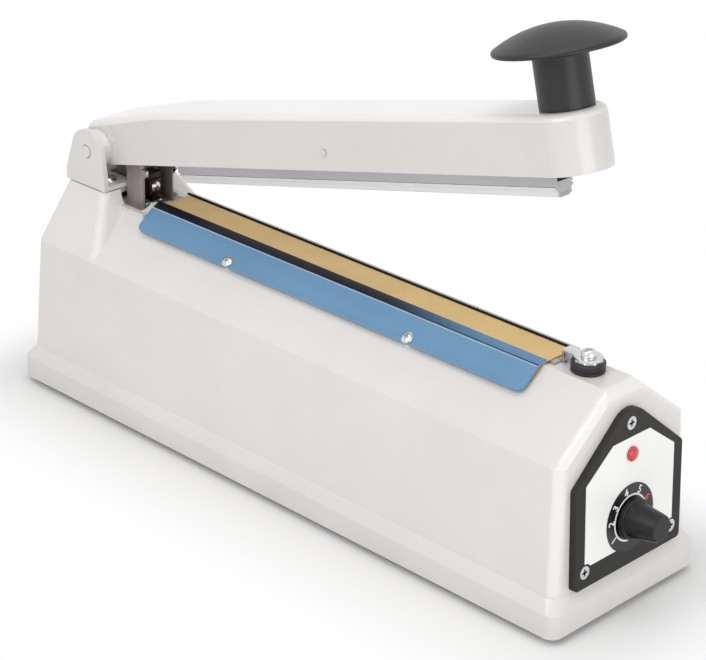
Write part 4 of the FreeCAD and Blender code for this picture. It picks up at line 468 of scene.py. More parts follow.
class Effects:
    """Node groups that several finishes share."""

    def __init__(self) -> None:
        """Builds the groups once."""
        self.grain = self.make_grain()
        self.weave = self.make_weave()
        self.dust = self.make_dust()

    @staticmethod
    def make_grain() -> bpy.types.NodeTree:
        """Fine texture and slow patches.

        Returns:
            A group with inputs Vector, Scale and Patch Scale, and outputs Grain and Patches.
        """
        group = new_group("surface_grain", ("Scale", "Patch Scale"), ("Grain", "Patches"))
        wiring, start = Wiring(group), group.nodes["Group Input"].outputs
        fine = wiring.add("TexNoise", {"Vector": start["Vector"], "Scale": start["Scale"], "Detail": 3})
        slow = wiring.add("TexNoise", {"Vector": start["Vector"], "Scale": start["Patch Scale"], "Detail": 4,
                                       "Roughness": 0.6})
        spread = wiring.add("MapRange", {"Value": slow.outputs["Fac"], "From Min": 0.35, "From Max": 0.65})
        wiring.fill(group.nodes["Group Output"],
                    {"Grain": fine.outputs["Fac"], "Patches": spread.outputs["Result"]})
        return group

    @staticmethod
    def make_weave() -> bpy.types.NodeTree:
        """Plain weave of flat threads over and under each other.

        Returns:
            A group with inputs Vector and Threads, threads to the metre, and output Height.
        """
        group = new_group("plain_weave", ("Threads",), ("Height",))
        wiring, start = Wiring(group), group.nodes["Group Input"].outputs
        split = wiring.add("SeparateXYZ", {0: start["Vector"]})
        half_turns = wiring.math("MULTIPLY", start["Threads"], math.pi)
        waves = [wiring.math("SINE", wiring.math("MULTIPLY", split.outputs[axis], half_turns)) for axis in ("X", "Y")]
        ridges = [wiring.math("ABSOLUTE", wave) for wave in waves]
        over = wiring.math("GREATER_THAN", wiring.math("MULTIPLY", *waves), 0.0)
        under = wiring.math("SUBTRACT", 1.0, over)
        height = wiring.math("ADD", *(wiring.math("MULTIPLY", share, ridge)
                                      for share, ridge in zip((over, under), ridges)))
        wiring.fill(group.nodes["Group Output"], {"Height": height})
        return group

    @staticmethod
    def make_dust() -> bpy.types.NodeTree:
        """Faint darkening, in noisy patches, low on the piece.

        Returns:
            A group with inputs Vector and Reach, how high the darkening goes, and output Mask.
        """
        group = new_group("darker_low", ("Reach",), ("Mask",))
        wiring, start = Wiring(group), group.nodes["Group Input"].outputs
        level = wiring.add("SeparateXYZ", {0: start["Vector"]}).outputs["Z"]
        fade = wiring.add("MapRange", {"Value": level, "From Min": 0.0, "From Max": start["Reach"], "To Min": 1.0,
                                       "To Max": 0.0})
        cloud = wiring.add("TexNoise", {"Vector": start["Vector"], "Scale": 45, "Detail": 6})
        mask = wiring.math("MULTIPLY", fade.outputs["Result"], cloud.outputs["Fac"])
        wiring.fill(group.nodes["Group Output"], {"Mask": mask})
        return group


@dataclass(frozen=True)
class Finish:
    """Colour and surface of one material.

    Colours are display values from 0 to 1, and grain_height, dust and fade_span are in metres.
    """

    name: str
    colour: Colour
    roughness: float = 0.4
    metallic: float = 0.0
    coat: float = 0.0
    tone: float = 0.04
    grain_scale: float = 900.0
    grain_height: float = 0.00002
    patch_scale: float = 18.0
    stretch: tuple[float, float, float] = (1.0, 1.0, 1.0)
    dust: float = 0.0
    transmission: float = 0.0
    pattern: Pattern = Pattern.PLAIN
    specular: float = 0.5
    fade_to: Colour | None = None
    fade_span: tuple[float, float] = (0.0, 0.1)

    def build(self, effects: Effects) -> bpy.types.Material:
        """Makes the material.

        Args:
            effects: the shared node groups.

        Returns:
            The material, with its pattern on the piece's own coordinates.
        """
        material = bpy.data.materials.new(self.name)
        material.use_nodes = True
        wiring = Wiring(material.node_tree)
        where = wiring.add("TexCoord", {}).outputs[self.pattern.value]
        if self.stretch != (1.0, 1.0, 1.0):
            where = wiring.add("Mapping", {"Vector": where, "Scale": self.stretch}).outputs["Vector"]
        grain = wiring.shared(effects.grain, {"Vector": where, "Scale": self.grain_scale,
                                              "Patch Scale": self.patch_scale}).outputs
        height = grain["Grain"]
        colour = wiring.mix(grain["Patches"], display(self.colour), display(self.colour, 1 - self.tone))
        if self.pattern is Pattern.WOVEN:
            height = wiring.shared(effects.weave, {"Vector": where, "Threads": THREADS_PER_METRE}).outputs["Height"]
            colour = wiring.mix(height, display(self.colour, GAP_SHADE), colour)
        if self.dust:
            low_mask = wiring.shared(effects.dust, {"Vector": where, "Reach": self.dust}).outputs["Mask"]
            colour = wiring.mix(low_mask, colour, display(self.colour, LOW_DARK_SHARE))
        if self.fade_to:
            colour = wiring.mix(self.fade(wiring, where), colour, display(self.fade_to))
        shine = wiring.add("MapRange", {"Value": grain["Patches"],
                                        "To Min": max(0.02, self.roughness - SHINE_SPREAD / 2),
                                        "To Max": self.roughness + SHINE_SPREAD / 2})
        bump = wiring.add("Bump", {"Height": height, "Strength": 1.0, "Distance": self.grain_height})
        wiring.fill(material.node_tree.nodes["Principled BSDF"], {
            "Base Color": colour, "Roughness": shine.outputs["Result"], "Normal": bump.outputs["Normal"],
            "Metallic": self.metallic, "Coat Weight": self.coat, "Coat Roughness": COAT_ROUGHNESS,
            "Specular IOR Level": self.specular, "Transmission Weight": self.transmission})
        return material

    def fade(self, wiring: Wiring, where: bpy.types.NodeSocket) -> bpy.types.NodeSocket:
        """Measures how far the painted shade has given way to the other colour along the sealer.

        Args:
            wiring: the material's nodes.
            where: the coordinates of the pattern.

        Returns:
            A socket from 0 to 1.
        """
        along = wiring.add("SeparateXYZ", {0: where}).outputs["X"]
        return wiring.add("MapRange", {"Value": along, "From Min": self.fade_span[0], "From Max": self.fade_span[1]},
                          interpolation_type="SMOOTHSTEP").outputs["Result"]


FINISHES = {finish.name: finish for finish in (
    Finish("cast_enamel", (0.895, 0.88, 0.866), 0.34, coat=0.35, tone=0.02, grain_scale=420.0, grain_height=0.00003,
           dust=0.02),
    # Painted highlight: a brighter, glossier copy of the enamel for rounded edges and the arm's upward faces.
    Finish("highlight_enamel", (0.925, 0.915, 0.902), 0.22, coat=0.5, tone=0.015, grain_scale=420.0, grain_height=0.00001),
    # Painted shade: a darker copy of the white enamel for the arm.
    Finish("arm_shaded_enamel", (0.86, 0.848, 0.83), 0.3, coat=0.4, tone=0.02, grain_scale=420.0),
    Finish("yoke_enamel", (0.88, 0.87, 0.858), 0.32, coat=0.3, tone=0.03, grain_scale=500.0),
    Finish("blue_enamel", (0.385, 0.575, 0.725), 0.36, coat=0.3, tone=0.05, grain_scale=700.0),
    # Painted shade and reflection on the front lip: near-black at the hinge end, turning into the plate's blue towards
    # the front.
    Finish("lip_painted_shade", (0.075, 0.09, 0.15), 0.3, coat=0.1, tone=0.1, grain_scale=700.0, fade_to=(0.38, 0.55, 0.70),
           fade_span=(0.03, 0.10)),
    # Near-black painted shade: on the far lip, in the line beside the near bend and on the floors of screw recesses.
    Finish("painted_shade_black", (0.05, 0.055, 0.07), 0.25, coat=0.2, tone=0.1, grain_scale=700.0),
    # Painted highlight along the near plate's bend.
    Finish("painted_bend_highlight", (0.66, 0.80, 0.91), 0.3, coat=0.3, grain_scale=700.0),
    Finish("panel_black", (0.165, 0.16, 0.155), 0.55, specular=0.3, tone=0.08, grain_scale=2200.0,
           grain_height=0.00008),
    Finish("label_white", (0.965, 0.965, 0.96), 0.38, coat=0.15, tone=0.015, grain_scale=1500.0,
           grain_height=0.000008),
    Finish("dial_black", (0.05, 0.05, 0.055), coat=0.1, grain_scale=1500.0, grain_height=0.000008),
    Finish("knob_black", (0.04, 0.04, 0.043), 0.34, specular=0.4, tone=0.08, grain_scale=2600.0,
           grain_height=0.00003),
    Finish("black_plastic", (0.11, 0.11, 0.112), 0.42, tone=0.08, grain_scale=2600.0, grain_height=0.00004),
    Finish("black_rubber", (0.07, 0.07, 0.07), 0.75, tone=0.15, grain_scale=1800.0, grain_height=0.0001),
    Finish("red_lens", (0.86, 0.17, 0.15), 0.12, coat=0.8, tone=0.15, grain_scale=300.0, grain_height=0.00001,
           transmission=0.15),
    Finish("bright_steel", (0.86, 0.86, 0.86), 0.2, metallic=1.0, tone=0.06, grain_scale=1200.0,
           grain_height=0.000012, patch_scale=120.0),
    Finish("dark_steel", (0.64, 0.61, 0.585), metallic=0.25, tone=0.12, grain_scale=500.0, patch_scale=60.0,
           stretch=(1.0, 1.0, 0.12)),
    Finish("plain_steel", (0.68, 0.69, 0.70), 0.38, metallic=0.9, tone=0.12, grain_scale=160.0, patch_scale=90.0),
    Finish("bar_alloy", (0.74, 0.74, 0.75), 0.36, metallic=0.85, tone=0.08, stretch=(0.04, 1.0, 1.0)),
    # Painted highlight on the sides of the extruded bar's lower flange.
    Finish("bar_painted_highlight", (0.93, 0.93, 0.925), metallic=0.3, stretch=(0.04, 1.0, 1.0)),
    Finish("silicone", (0.74, 0.73, 0.71), 0.6, tone=0.06),
    Finish("cloth_tan", (1.0, 0.845, 0.555), 0.5, tone=0.05, grain_height=0.00005, patch_scale=55.0,
           pattern=Pattern.WOVEN),
    Finish("element_alloy", (0.62, 0.60, 0.57), 0.3, metallic=1.0, tone=0.1, stretch=(0.05, 1.0, 1.0)),
    Finish("lug_brass", (0.30, 0.20, 0.17), metallic=0.6, tone=0.12),
    Finish("board_green", (0.14, 0.36, 0.20), tone=0.15, grain_scale=1200.0, patch_scale=80.0),
    Finish("core_steel", (0.36, 0.36, 0.38), 0.45, metallic=0.7, tone=0.2, grain_scale=700.0, grain_height=0.00015,
           stretch=(0.1, 3.0, 0.1)),
    Finish("coil_yellow", (0.78, 0.66, 0.32), 0.5, tone=0.15, grain_scale=500.0, stretch=(0.1, 0.1, 3.0)),
    Finish("numeral_white", (0.95, 0.95, 0.94), 0.5, tone=0.02, grain_height=0.000004),
    Finish("numeral_red", (0.86, 0.33, 0.28), 0.5, tone=0.03, grain_height=0.000004),
)}


class Wardrobe:
    """Builds each finish once and puts it on pieces."""

    def __init__(self) -> None:
        """Builds the shared effects."""
        self.effects = Effects()
        self.made: dict[str, bpy.types.Material] = {}

    def material(self, name: str) -> bpy.types.Material:
        """Gives a finish's material, made when first asked for."""
        if name not in self.made:
            self.made[name] = FINISHES[name].build(self.effects)
        return self.made[name]

    def dress(self, piece: bpy.types.Object, finish: str) -> None:
        """Puts one finish all over a piece."""
        piece.data.materials.clear()
        piece.data.materials.append(self.material(finish))


# Hardware that several sub-assemblies use

@dataclass(frozen=True)
class PanScrew:
    """Pan-head screw with a cross recess, built along Z from its seat, in millimetres."""

    reach: float
    radius: float = 2.6
    height: float = 1.4
    shank: float = 1.5

    def build(self, name: str) -> bpy.types.Object:
        """Models one screw at the origin.

        Args:
            name: the piece's name.

        Returns:
            The screw, in millimetres.
        """
        wide, tall = self.radius, self.height
        crown = ((0.96, 0.0), (1.0, 0.12), (1.0, 0.35), (0.93, 0.62), (0.76, 0.85), (0.5, 0.97), (0.2, 1.0))
        piece = turned(name, [(self.shank * 0.8, -self.reach), (self.shank, -self.reach + 0.4), (self.shank, 0.0)]
                       + [(wide * across, tall * up) for across, up in crown], 32)
        cut_cross(piece, wide * 0.52, wide * 0.13, tall * 0.45, tall + 1, 0.55)
        smooth(piece, 32)
        return piece


@dataclass(frozen=True)
class Peg:
    """Round pin or rivet end with a chamfered rim, built along Z from the face it stands on, in millimetres."""

    radius: float
    height: float
    chamfer: float

    def build(self, name: str) -> bpy.types.Object:
        """Models one peg end at the origin.

        Args:
            name: the piece's name.

        Returns:
            The peg, in millimetres.
        """
        wide, tall, edge = self.radius, self.height, self.chamfer
        piece = turned(name, [(wide, 0.0), (wide, tall - edge), (wide - edge * 0.3, tall - edge * 0.3),
                              (wide - edge, tall), (wide * 0.4, tall)], 40)
        smooth(piece, 40)
        return piece


# Sub-assemblies

@dataclass
class Assembly:
    """Pieces of the sealer that are modelled together."""

    wardrobe: Wardrobe

    def settle(self, piece: bpy.types.Object, finish: str, body: str, *nodes: str, slot: str = "") -> None:
        """Dresses a finished piece and ties it to the frame.

        Args:
            piece: the piece, at its place in the row frame.
            finish: the name of its finish.
            body: the body that it rides on.
            nodes: the nodes that it stands for.
            slot: the record's material slot, where it isn't called like the finish; not used.
        """
        slot = slot or finish
        self.wardrobe.dress(piece, finish)
        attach(piece, body)
        if nodes:
            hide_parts(*nodes)
        LOG.info("%s on %s, %d faces", piece.name, body, len(piece.data.polygons))

    def accent(self, piece: bpy.types.Object, finish: str, test: FaceTest) -> None:
        """Gives the faces that pass a test a second finish.

        Args:
            piece: the dressed piece.
            finish: the second finish's name.
            test: called with each face.
        """
        piece.data.materials.append(self.wardrobe.material(finish))
        for face in piece.data.polygons:
            face.material_index = 1 if test(face) else 0


@dataclass
class Housing(Assembly):
    """Enamelled casting, its bottom plate and feet.

    Levels and reaches are in millimetres; edge_side, eave_rise and gable_turn are parts of a face's normal.
    """

    edge_round: float = 1.1
    foot_x: float = 145.0
    foot_y: float = 29.0
    foot_seat: float = 1.8
    foot_screw_reach: float = 12.6
    eave: tuple[float, float] = (55.0, 76.0)
    eave_side: float = 0.3
    eave_rise: tuple[float, float] = (0.12, 0.58)
    gable_start: float = 140.0
    gable_turn: tuple[float, float] = (0.25, 0.93)
    skirt_top: float = 19.0

    def build(self) -> None:
        """Rounds the casting and plate, paints highlights on the casting's rounded edges and sets the four feet."""
        casting = softened("body_casting", self.edge_round)
        self.settle(casting, "cast_enamel", "base", "body_casting")
        # Painted highlight on the rounded edges under the roof and on the gable.
        self.accent(casting, "highlight_enamel", self.is_bright_edge)
        self.settle(softened("bottom_plate", 0.2, 1), "plain_steel", "base", "bottom_plate")
        places = [upright(x, y, 0) for x in (-self.foot_x, self.foot_x) for y in (-self.foot_y, self.foot_y)]
        foot = turned("foot", [(2.9, 1.8), (2.9, 0.15), (3.05, 0.0), (5.9, 0.0), (6.3, 0.25), (6.9, 2.9), (6.95, 3.28)])
        smooth(foot, 40)
        self.settle(copies(foot, places, "feet"), "black_rubber", "base", "rubber_feet")
        seat, turn = Matrix.Translation((0, 0, self.foot_seat)), Matrix.Rotation(math.pi, 4, "X")
        screws = copies(PanScrew(self.foot_screw_reach).build("foot_screw"),
                        [corner @ seat @ turn for corner in places], "foot_bolts")
        self.settle(screws, "bright_steel", "base", "foot_screws")

    def is_bright_edge(self, face: bpy.types.MeshPolygon) -> bool:
        """Tells the rounded edges under the roof and on the gable, which get a painted highlight in a brighter,
        smoother enamel.

        Args:
            face: a face of the casting.

        Returns:
            Whether it is on such an edge.
        """
        low, high = (level * MM for level in self.eave)
        at_eave = (low < face.center.z < high and abs(face.normal.y) > self.eave_side
                   and self.eave_rise[0] < face.normal.z < self.eave_rise[1])
        at_gable = (face.center.x > self.gable_start * MM and face.center.z > self.skirt_top * MM
                    and self.gable_turn[0] < face.normal.x < self.gable_turn[1])
        return at_eave or at_gable


@dataclass
class Hinge(Assembly):
    """Yoke on the tower with its screws, pin and the guard of the rear terminal."""

    ear: float = 21.5
    yoke_floor: float = 98.5
    yoke_screw_x: tuple[float, float] = (-143.0, -131.0)
    yoke_screw_y: float = 13.5
    foot_height: float = 0.6
    shadow_gap: float = 0.55
    tab_reach: float = 2.4
    guard_screws: tuple[float, float, float] = (-116.0, 4.5, 89.5)
    terminal: tuple[float, float, float] = (-116.4, 0.0, 96.7)
    terminal_sink: float = 1.6
    insulator_share: float = 0.62

    def build(self) -> None:
        """Models the yoke, the pin, the guard and the rear terminal."""
        self.make_yoke()
        self.make_pin()
        self.make_guard()
        self.make_terminal()

    def make_yoke(self) -> None:
        """Rounds the folded yoke, lifts its foot off the tower for a dark seam and sets its screws."""
        yoke = softened("hinge_yoke", 0.5)
        self.settle(yoke, "yoke_enamel", "base", "hinge_yoke")
        foot = min(corner.co.z for corner in yoke.data.vertices) + self.foot_height * MM
        pick(yoke, "vertices", lambda corner: corner.co.z < foot)
        with editing(yoke, "VERT"):
            bpy.ops.transform.translate(value=(0, 0, self.shadow_gap * MM))
        places = [upright(x, y, self.yoke_floor) for x in self.yoke_screw_x
                  for y in (-self.yoke_screw_y, self.yoke_screw_y)]
        screw = PanScrew(6.9, radius=3.6, height=2.2, shank=2.0).build("yoke_screw")
        self.settle(copies(screw, places, "yoke_bolts"), "bright_steel", "base", "yoke_screws")

    def make_pin(self) -> None:
        """Models the pin's low head in the near ear and its shank from the far one."""
        head = Peg(2.75, 1.9, 0.35).build("pin_head")
        shank = Peg(3.0, 43.8, 0.5).build("pin_shank")
        place(head, frame_at(PIN - Vector((0.2, self.ear - 1.3, 0.05)), X_AXIS, Z_AXIS))
        place(shank, frame_at(PIN - Vector((0, self.ear - 1.2, 0)), X_AXIS, -Z_AXIS))
        self.settle(joined([head, shank], "hinge_axle"), "yoke_enamel", "base", "hinge_pin", slot="bright_steel")

    def make_guard(self) -> None:
        """Rounds the guard, paints highlights on its folded tabs in bright steel and sets its screws."""
        guard = softened("terminal_guard", 0.4)
        self.settle(guard, "dark_steel", "base", "terminal_guard")
        corners = guard.data.vertices
        tab_start = max(corner.co.x for corner in corners) - self.tab_reach * MM
        # Painted highlight: the tabs of the same sheet get the bright steel finish.
        self.accent(guard, "bright_steel",
                    lambda face: min(corners[index].co.x for index in face.vertices) > tab_start)
        x, half, level = self.guard_screws
        screws = copies(PanScrew(3.9).build("guard_screw"), [upright(x, y, level) for y in (-half, half)],
                        "guard_bolts")
        self.settle(screws, "bright_steel", "base", "guard_screws")

    def make_terminal(self) -> None:
        """Models the rear terminal's screw and narrows its insulator."""
        screw = PanScrew(6.0, height=1.5).build("rear_post")
        place(screw, frame_at(Vector(self.terminal), Y_AXIS, Z_AXIS)
              @ Matrix.Translation((0, 0, -self.terminal_sink)))
        self.settle(screw, "bright_steel", "base", "rear_terminal_screw")
        insulator = softened("rear_insulator", 0.5)
        with editing(insulator):
            bpy.ops.mesh.select_all(action="SELECT")
            bpy.ops.transform.resize(value=(1, self.insulator_share, 1), center_override=(0, 0, 0))
        self.settle(insulator, "knob_black", "base", "rear_insulator", slot="black_plastic")


@dataclass
class Arm(Assembly):
    """Cast arm with its mushroom grip."""

    grip_reach: float = 265.1
    grip_seat: float = 15.5
    half_width: float = 14.5
    hub_rings: tuple[float, ...] = (11.6, 13.4)
    ring_depth: float = 0.32
    top_facing: float = 0.2

    def build(self) -> None:
        """Rounds the casting, gives it a darker enamel as painted shade with a painted highlight on its upward faces,
        and models the grip.
        """
        arm = softened("upper_arm", 0.9)
        self.cut_rings(arm)
        self.settle(arm, "arm_shaded_enamel", "arm", "upper_arm", slot="cast_enamel")
        above = Vector((-math.sin(ARM_OPEN), 0, math.cos(ARM_OPEN)))
        # Painted highlight on the arm's upward faces.
        self.accent(arm, "highlight_enamel", lambda face: face.normal.dot(above) > self.top_facing)
        self.settle(self.make_grip(), "black_plastic", "arm", "handle_knob")

    def cut_rings(self, arm: bpy.types.Object) -> None:
        """Cuts two fine turned rings round each side of the hub."""
        for side in (-1, 1):
            for radius in self.hub_rings:
                deselect()
                bpy.ops.mesh.primitive_torus_add(major_segments=72, minor_segments=8, major_radius=radius,
                                                 minor_radius=self.ring_depth)
                ring = bpy.context.object
                place(ring, arm_frame() @ Matrix.Translation((0, side * self.half_width, 0))
                      @ Matrix.Rotation(math.pi / 2, 4, "X"))
                cut_away(arm, ring)
        smooth(arm)

    def make_grip(self) -> bpy.types.Object:
        """Turns the grip: stem, flare, rim and a shallow dome.

        Returns:
            The grip in place on the arm.
        """
        stem = [(10.2, 0.0), (10.5, 0.3), (10.5, 9.0)]
        flare_x, flare_y, flare_radius = 13.5, 18.9, 3
        flare = [(flare_x - flare_radius * math.cos(turn), flare_y + flare_radius * math.sin(turn))
                 for turn in (math.radians(angle) for angle in (0, 22, 45, 68, 90))]
        rim = [(22.5, 21.9), (24.2, 22.0), (24.8, 22.35), (25.0, 22.95), (24.95, 23.6), (24.5, 24.25)]
        crown, level = 47.0, -15.9
        dome = [(radius, level + math.sqrt(crown ** 2 - radius ** 2))
                for radius in (23.6, 22.4, 20.4, 17.5, 14.0, 10.0, 6.0, 2.5, 0.6)]
        grip = turned("grip", stem + flare + rim + dome, 96)
        smooth(grip, 40)
        place(grip, arm_frame() @ Matrix.Translation((self.grip_reach, 0, self.grip_seat)))
        return grip


@dataclass
class PressureBar(Assembly):
    """Extruded bar with a painted highlight on its lower flange, and its saddle."""

    flange_height: float = 4.2
    flange_side: float = 0.3

    def build(self) -> None:
        """Rounds the bar and the saddle and paints a highlight on the flange's sides."""
        bar = softened("pressure_bar", 0.25, 2)
        self.settle(bar, "bar_alloy", "bar", "pressure_bar")
        into = arm_frame().inverted()
        flange_top = min((into @ corner.co).z for corner in bar.data.vertices) + self.flange_height
        # Painted highlight on the flange's sides.
        self.accent(bar, "bar_painted_highlight",
                    lambda face: (into @ face.center).z < flange_top and abs(face.normal.y) > self.flange_side)
        self.settle(softened("bar_saddle", 0.3, 2), "plain_steel", "bar", "bar_saddle")


@dataclass
class SealBed(Assembly):
    """Coated cloth over the ridge and the two blue plates that hold it.

    fold gives the step out and down of each strip beside the cloth's flat middle.
    """

    start: float = -101.0
    end: float = 119.8
    flat_half: float = RIDGE_HALF - 0.9
    cloth_level: float = 94.18
    cloth_thickness: float = 0.18
    fold: tuple[tuple[float, float], ...] = ((0.45, -0.12), (0.4, -0.3), (2.0, -2.0 * math.tan(ROOF_ANGLE)),
                                             (5.0, -5.0 * math.tan(ROOF_ANGLE)))
    plate_face: float = 2.65
    bend_drop: float = 2.4
    lip_line: tuple[float, float] = (3.19, 0.94)
    lip_end: float = 0.5
    lip_reach: float = 1.1
    line_width: float = 0.6
    line_facing: float = 0.93
    screw_drop: float = 12.6
    screw_rows: tuple[float, float] = (-45.5, 59.3)

    def build(self) -> None:
        """Models the cloth, rounds the plates and sets their screws."""
        cloth = self.make_cloth()
        self.settle(cloth, "cloth_tan", "base", "ptfe_cloth")
        # Both lips carry painted shade: the near one turns into blue towards the front, the far one stays near-black.
        for node, side, lip in (("front_cover_plate", -1, "lip_painted_shade"), ("rear_cover_plate", 1, "painted_shade_black")):
            plate = softened(node, 0.35)
            if side < 0:
                self.lengthen_lip(plate, side)
            self.settle(plate, "blue_enamel", "base", node)
            self.line_lip(plate, side, lip)
        places = [slope_frame(side) @ Matrix.Translation((x, side * self.screw_drop, self.plate_face))
                  for side in (-1, 1) for x in self.screw_rows]
        screws = copies(PanScrew(5.1).build("plate_screw"), places, "plate_bolts")
        self.settle(screws, "bright_steel", "base", "cover_screws")

    def lengthen_lip(self, plate: bpy.types.Object, side: int) -> None:
        """Draws the lip a little further over the cloth, in its own plane.

        Args:
            plate: the rounded plate.
            side: -1 for the near plate and 1 for the far one.
        """
        slope = slope_frame(side)
        to_slope = slope.inverted()
        up_slope, inward = self.lip_line
        along = slope.to_3x3() @ Vector((0, -side * up_slope, -inward)).normalized()
        for vertex in plate.data.vertices:
            if side * (to_slope @ vertex.co).y < self.lip_end:
                vertex.co += along * self.lip_reach

    def line_lip(self, plate: bpy.types.Object, side: int, lip: str) -> None:
        """Gives the lip painted shade and the near bend a painted highlight beside a painted shadow line.

        Args:
            plate: the rounded plate.
            side: -1 for the near plate and 1 for the far one.
            lip: the lip's finish, which is painted shade.
        """
        to_slope = slope_frame(side).inverted()
        outward = (slope_frame(side).to_3x3() @ Z_AXIS).normalized()

        def past_bend(at: Vector) -> float:
            """Gives how far down the slope from the bend a point lies, in millimetres."""
            return side * (to_slope @ at).y - self.bend_drop

        def on_bend(edge: bpy.types.MeshEdge) -> bool:
            """Tells an edge of the outer face that lies along the bend."""
            first, second = ends(plate, edge)
            return abs(first.x - second.x) > 0.01 and all(
                abs(past_bend(at)) < 0.1 and (to_slope @ at).z > self.plate_face - 0.1 for at in (first, second))

        if side < 0:
            pick(plate, "edges", on_bend)
            with editing(plate, "EDGE"):
                bpy.ops.mesh.bevel(offset=self.line_width * MM, segments=2, affect="EDGES")
        # The lip and the strip above the bend get painted shade. The strip down the slope from the bend gets a painted
        # highlight.
        for finish in (lip, "painted_bend_highlight", "painted_shade_black"):
            plate.data.materials.append(self.wardrobe.material(finish))
        for face in plate.data.polygons:
            below = past_bend(face.center)
            if abs(below) < self.line_width and face.normal.dot(outward) > self.line_facing:
                face.material_index = 2 if below > 0 else 3
            else:
                face.material_index = 1 if below < 0 else 0

    def make_cloth(self) -> bpy.types.Object:
        """Folds the cloth: a flat strip whose long edges are extruded down the slopes.

        Returns:
            The cloth, with a UV map in metres over its width and length.
        """
        deselect()
        middle = ((self.start + self.end) / 2 + SHIFT) * MM
        bpy.ops.mesh.primitive_grid_add(x_subdivisions=60, y_subdivisions=4, size=1,
                                        location=(middle, 0, self.cloth_level * MM))
        cloth = named(bpy.context.object, "seal_cloth")
        cloth.scale = ((self.end - self.start) * MM, 2 * self.flat_half * MM, 1)
        bpy.ops.object.transform_apply(location=True, scale=True)
        for side in (-1, 1):
            rim = side * self.flat_half * MM
            pick(cloth, "edges", lambda edge: all(abs(at.y - rim) < WELD for at in ends(cloth, edge)))
            with editing(cloth, "EDGE"):
                for out, down in self.fold:
                    bpy.ops.mesh.extrude_edges_move(TRANSFORM_OT_translate={"value": (0, side * out * MM, down * MM)})
        with editing(cloth):
            bpy.ops.mesh.select_all(action="SELECT")
            bpy.ops.mesh.normals_make_consistent(inside=False)
        if cloth.data.polygons[len(cloth.data.polygons) // 2].normal.z < 0:
            with editing(cloth):
                bpy.ops.mesh.select_all(action="SELECT")
                bpy.ops.mesh.flip_normals()
        self.map_cloth(cloth)
        solid = cloth.modifiers.new("sheet", "SOLIDIFY")
        solid.thickness = self.cloth_thickness * MM
        solid.offset = -1
        apply_modifiers(cloth)
        smooth(cloth, 50)
        return cloth

    def map_cloth(self, cloth: bpy.types.Object) -> None:
        """Lays the UV map out in metres along the strip and round its fold.

        Args:
            cloth: the sheet before its thickness.
        """
        layer = cloth.data.uv_layers.active or cloth.data.uv_layers.new(name="UVMap")
        flat_half = self.flat_half * MM
        for loop in cloth.data.loops:
            at = cloth.data.vertices[loop.vertex_index].co
            beyond = max(0.0, abs(at.y) - flat_half) / math.cos(ROOF_ANGLE)
            across = math.copysign(min(abs(at.y), flat_half) + beyond, at.y)
            layer.data[loop.index].uv = (at.x, across)


@dataclass
class FrontTerminal(Assembly):
    """Insulated post with the clamp that grips the element's end."""

    x: float = 134.0
    bolt_seat: float = 6.0
    bolt_turn: float = 0.6

    def build(self) -> None:
        """Turns the post, joins the clamp to its eight-sided washer and sets its bolt."""
        foot = upright(self.x, 0, RIDGE_LEVEL)
        post = turned("post", [(3.55, -7.0), (3.55, 0.0), (6.5, 0.0), (6.8, 0.3), (6.8, 1.5), (6.5, 1.65),
                               (6.5, 2.1), (6.8, 2.25), (6.8, 3.7), (6.5, 3.98), (5.0, 4.0)], 56)
        smooth(post)
        place(post, foot)
        self.settle(post, "black_plastic", "base", "front_insulator")
        washer = turned("washer", [(5.2, 3.85), (5.75, 4.05), (5.75, 4.9), (5.5, 5.05)], 8)
        place(washer, foot @ Matrix.Rotation(math.pi / 8, 4, "Z"))
        clamp = joined([softened("element_clamp", 0.18, 2), washer], "clamp_form")
        self.settle(clamp, "bright_steel", "base", "element_clamp")
        bolt = PanScrew(20.0, radius=3.05, height=2.75, shank=2.0).build("clamp_bolt")
        place(bolt, upright(self.x, 0, RIDGE_LEVEL + self.bolt_seat) @ Matrix.Rotation(self.bolt_turn, 4, "Z"))
        self.settle(bolt, "bright_steel", "base", "front_terminal_screw")


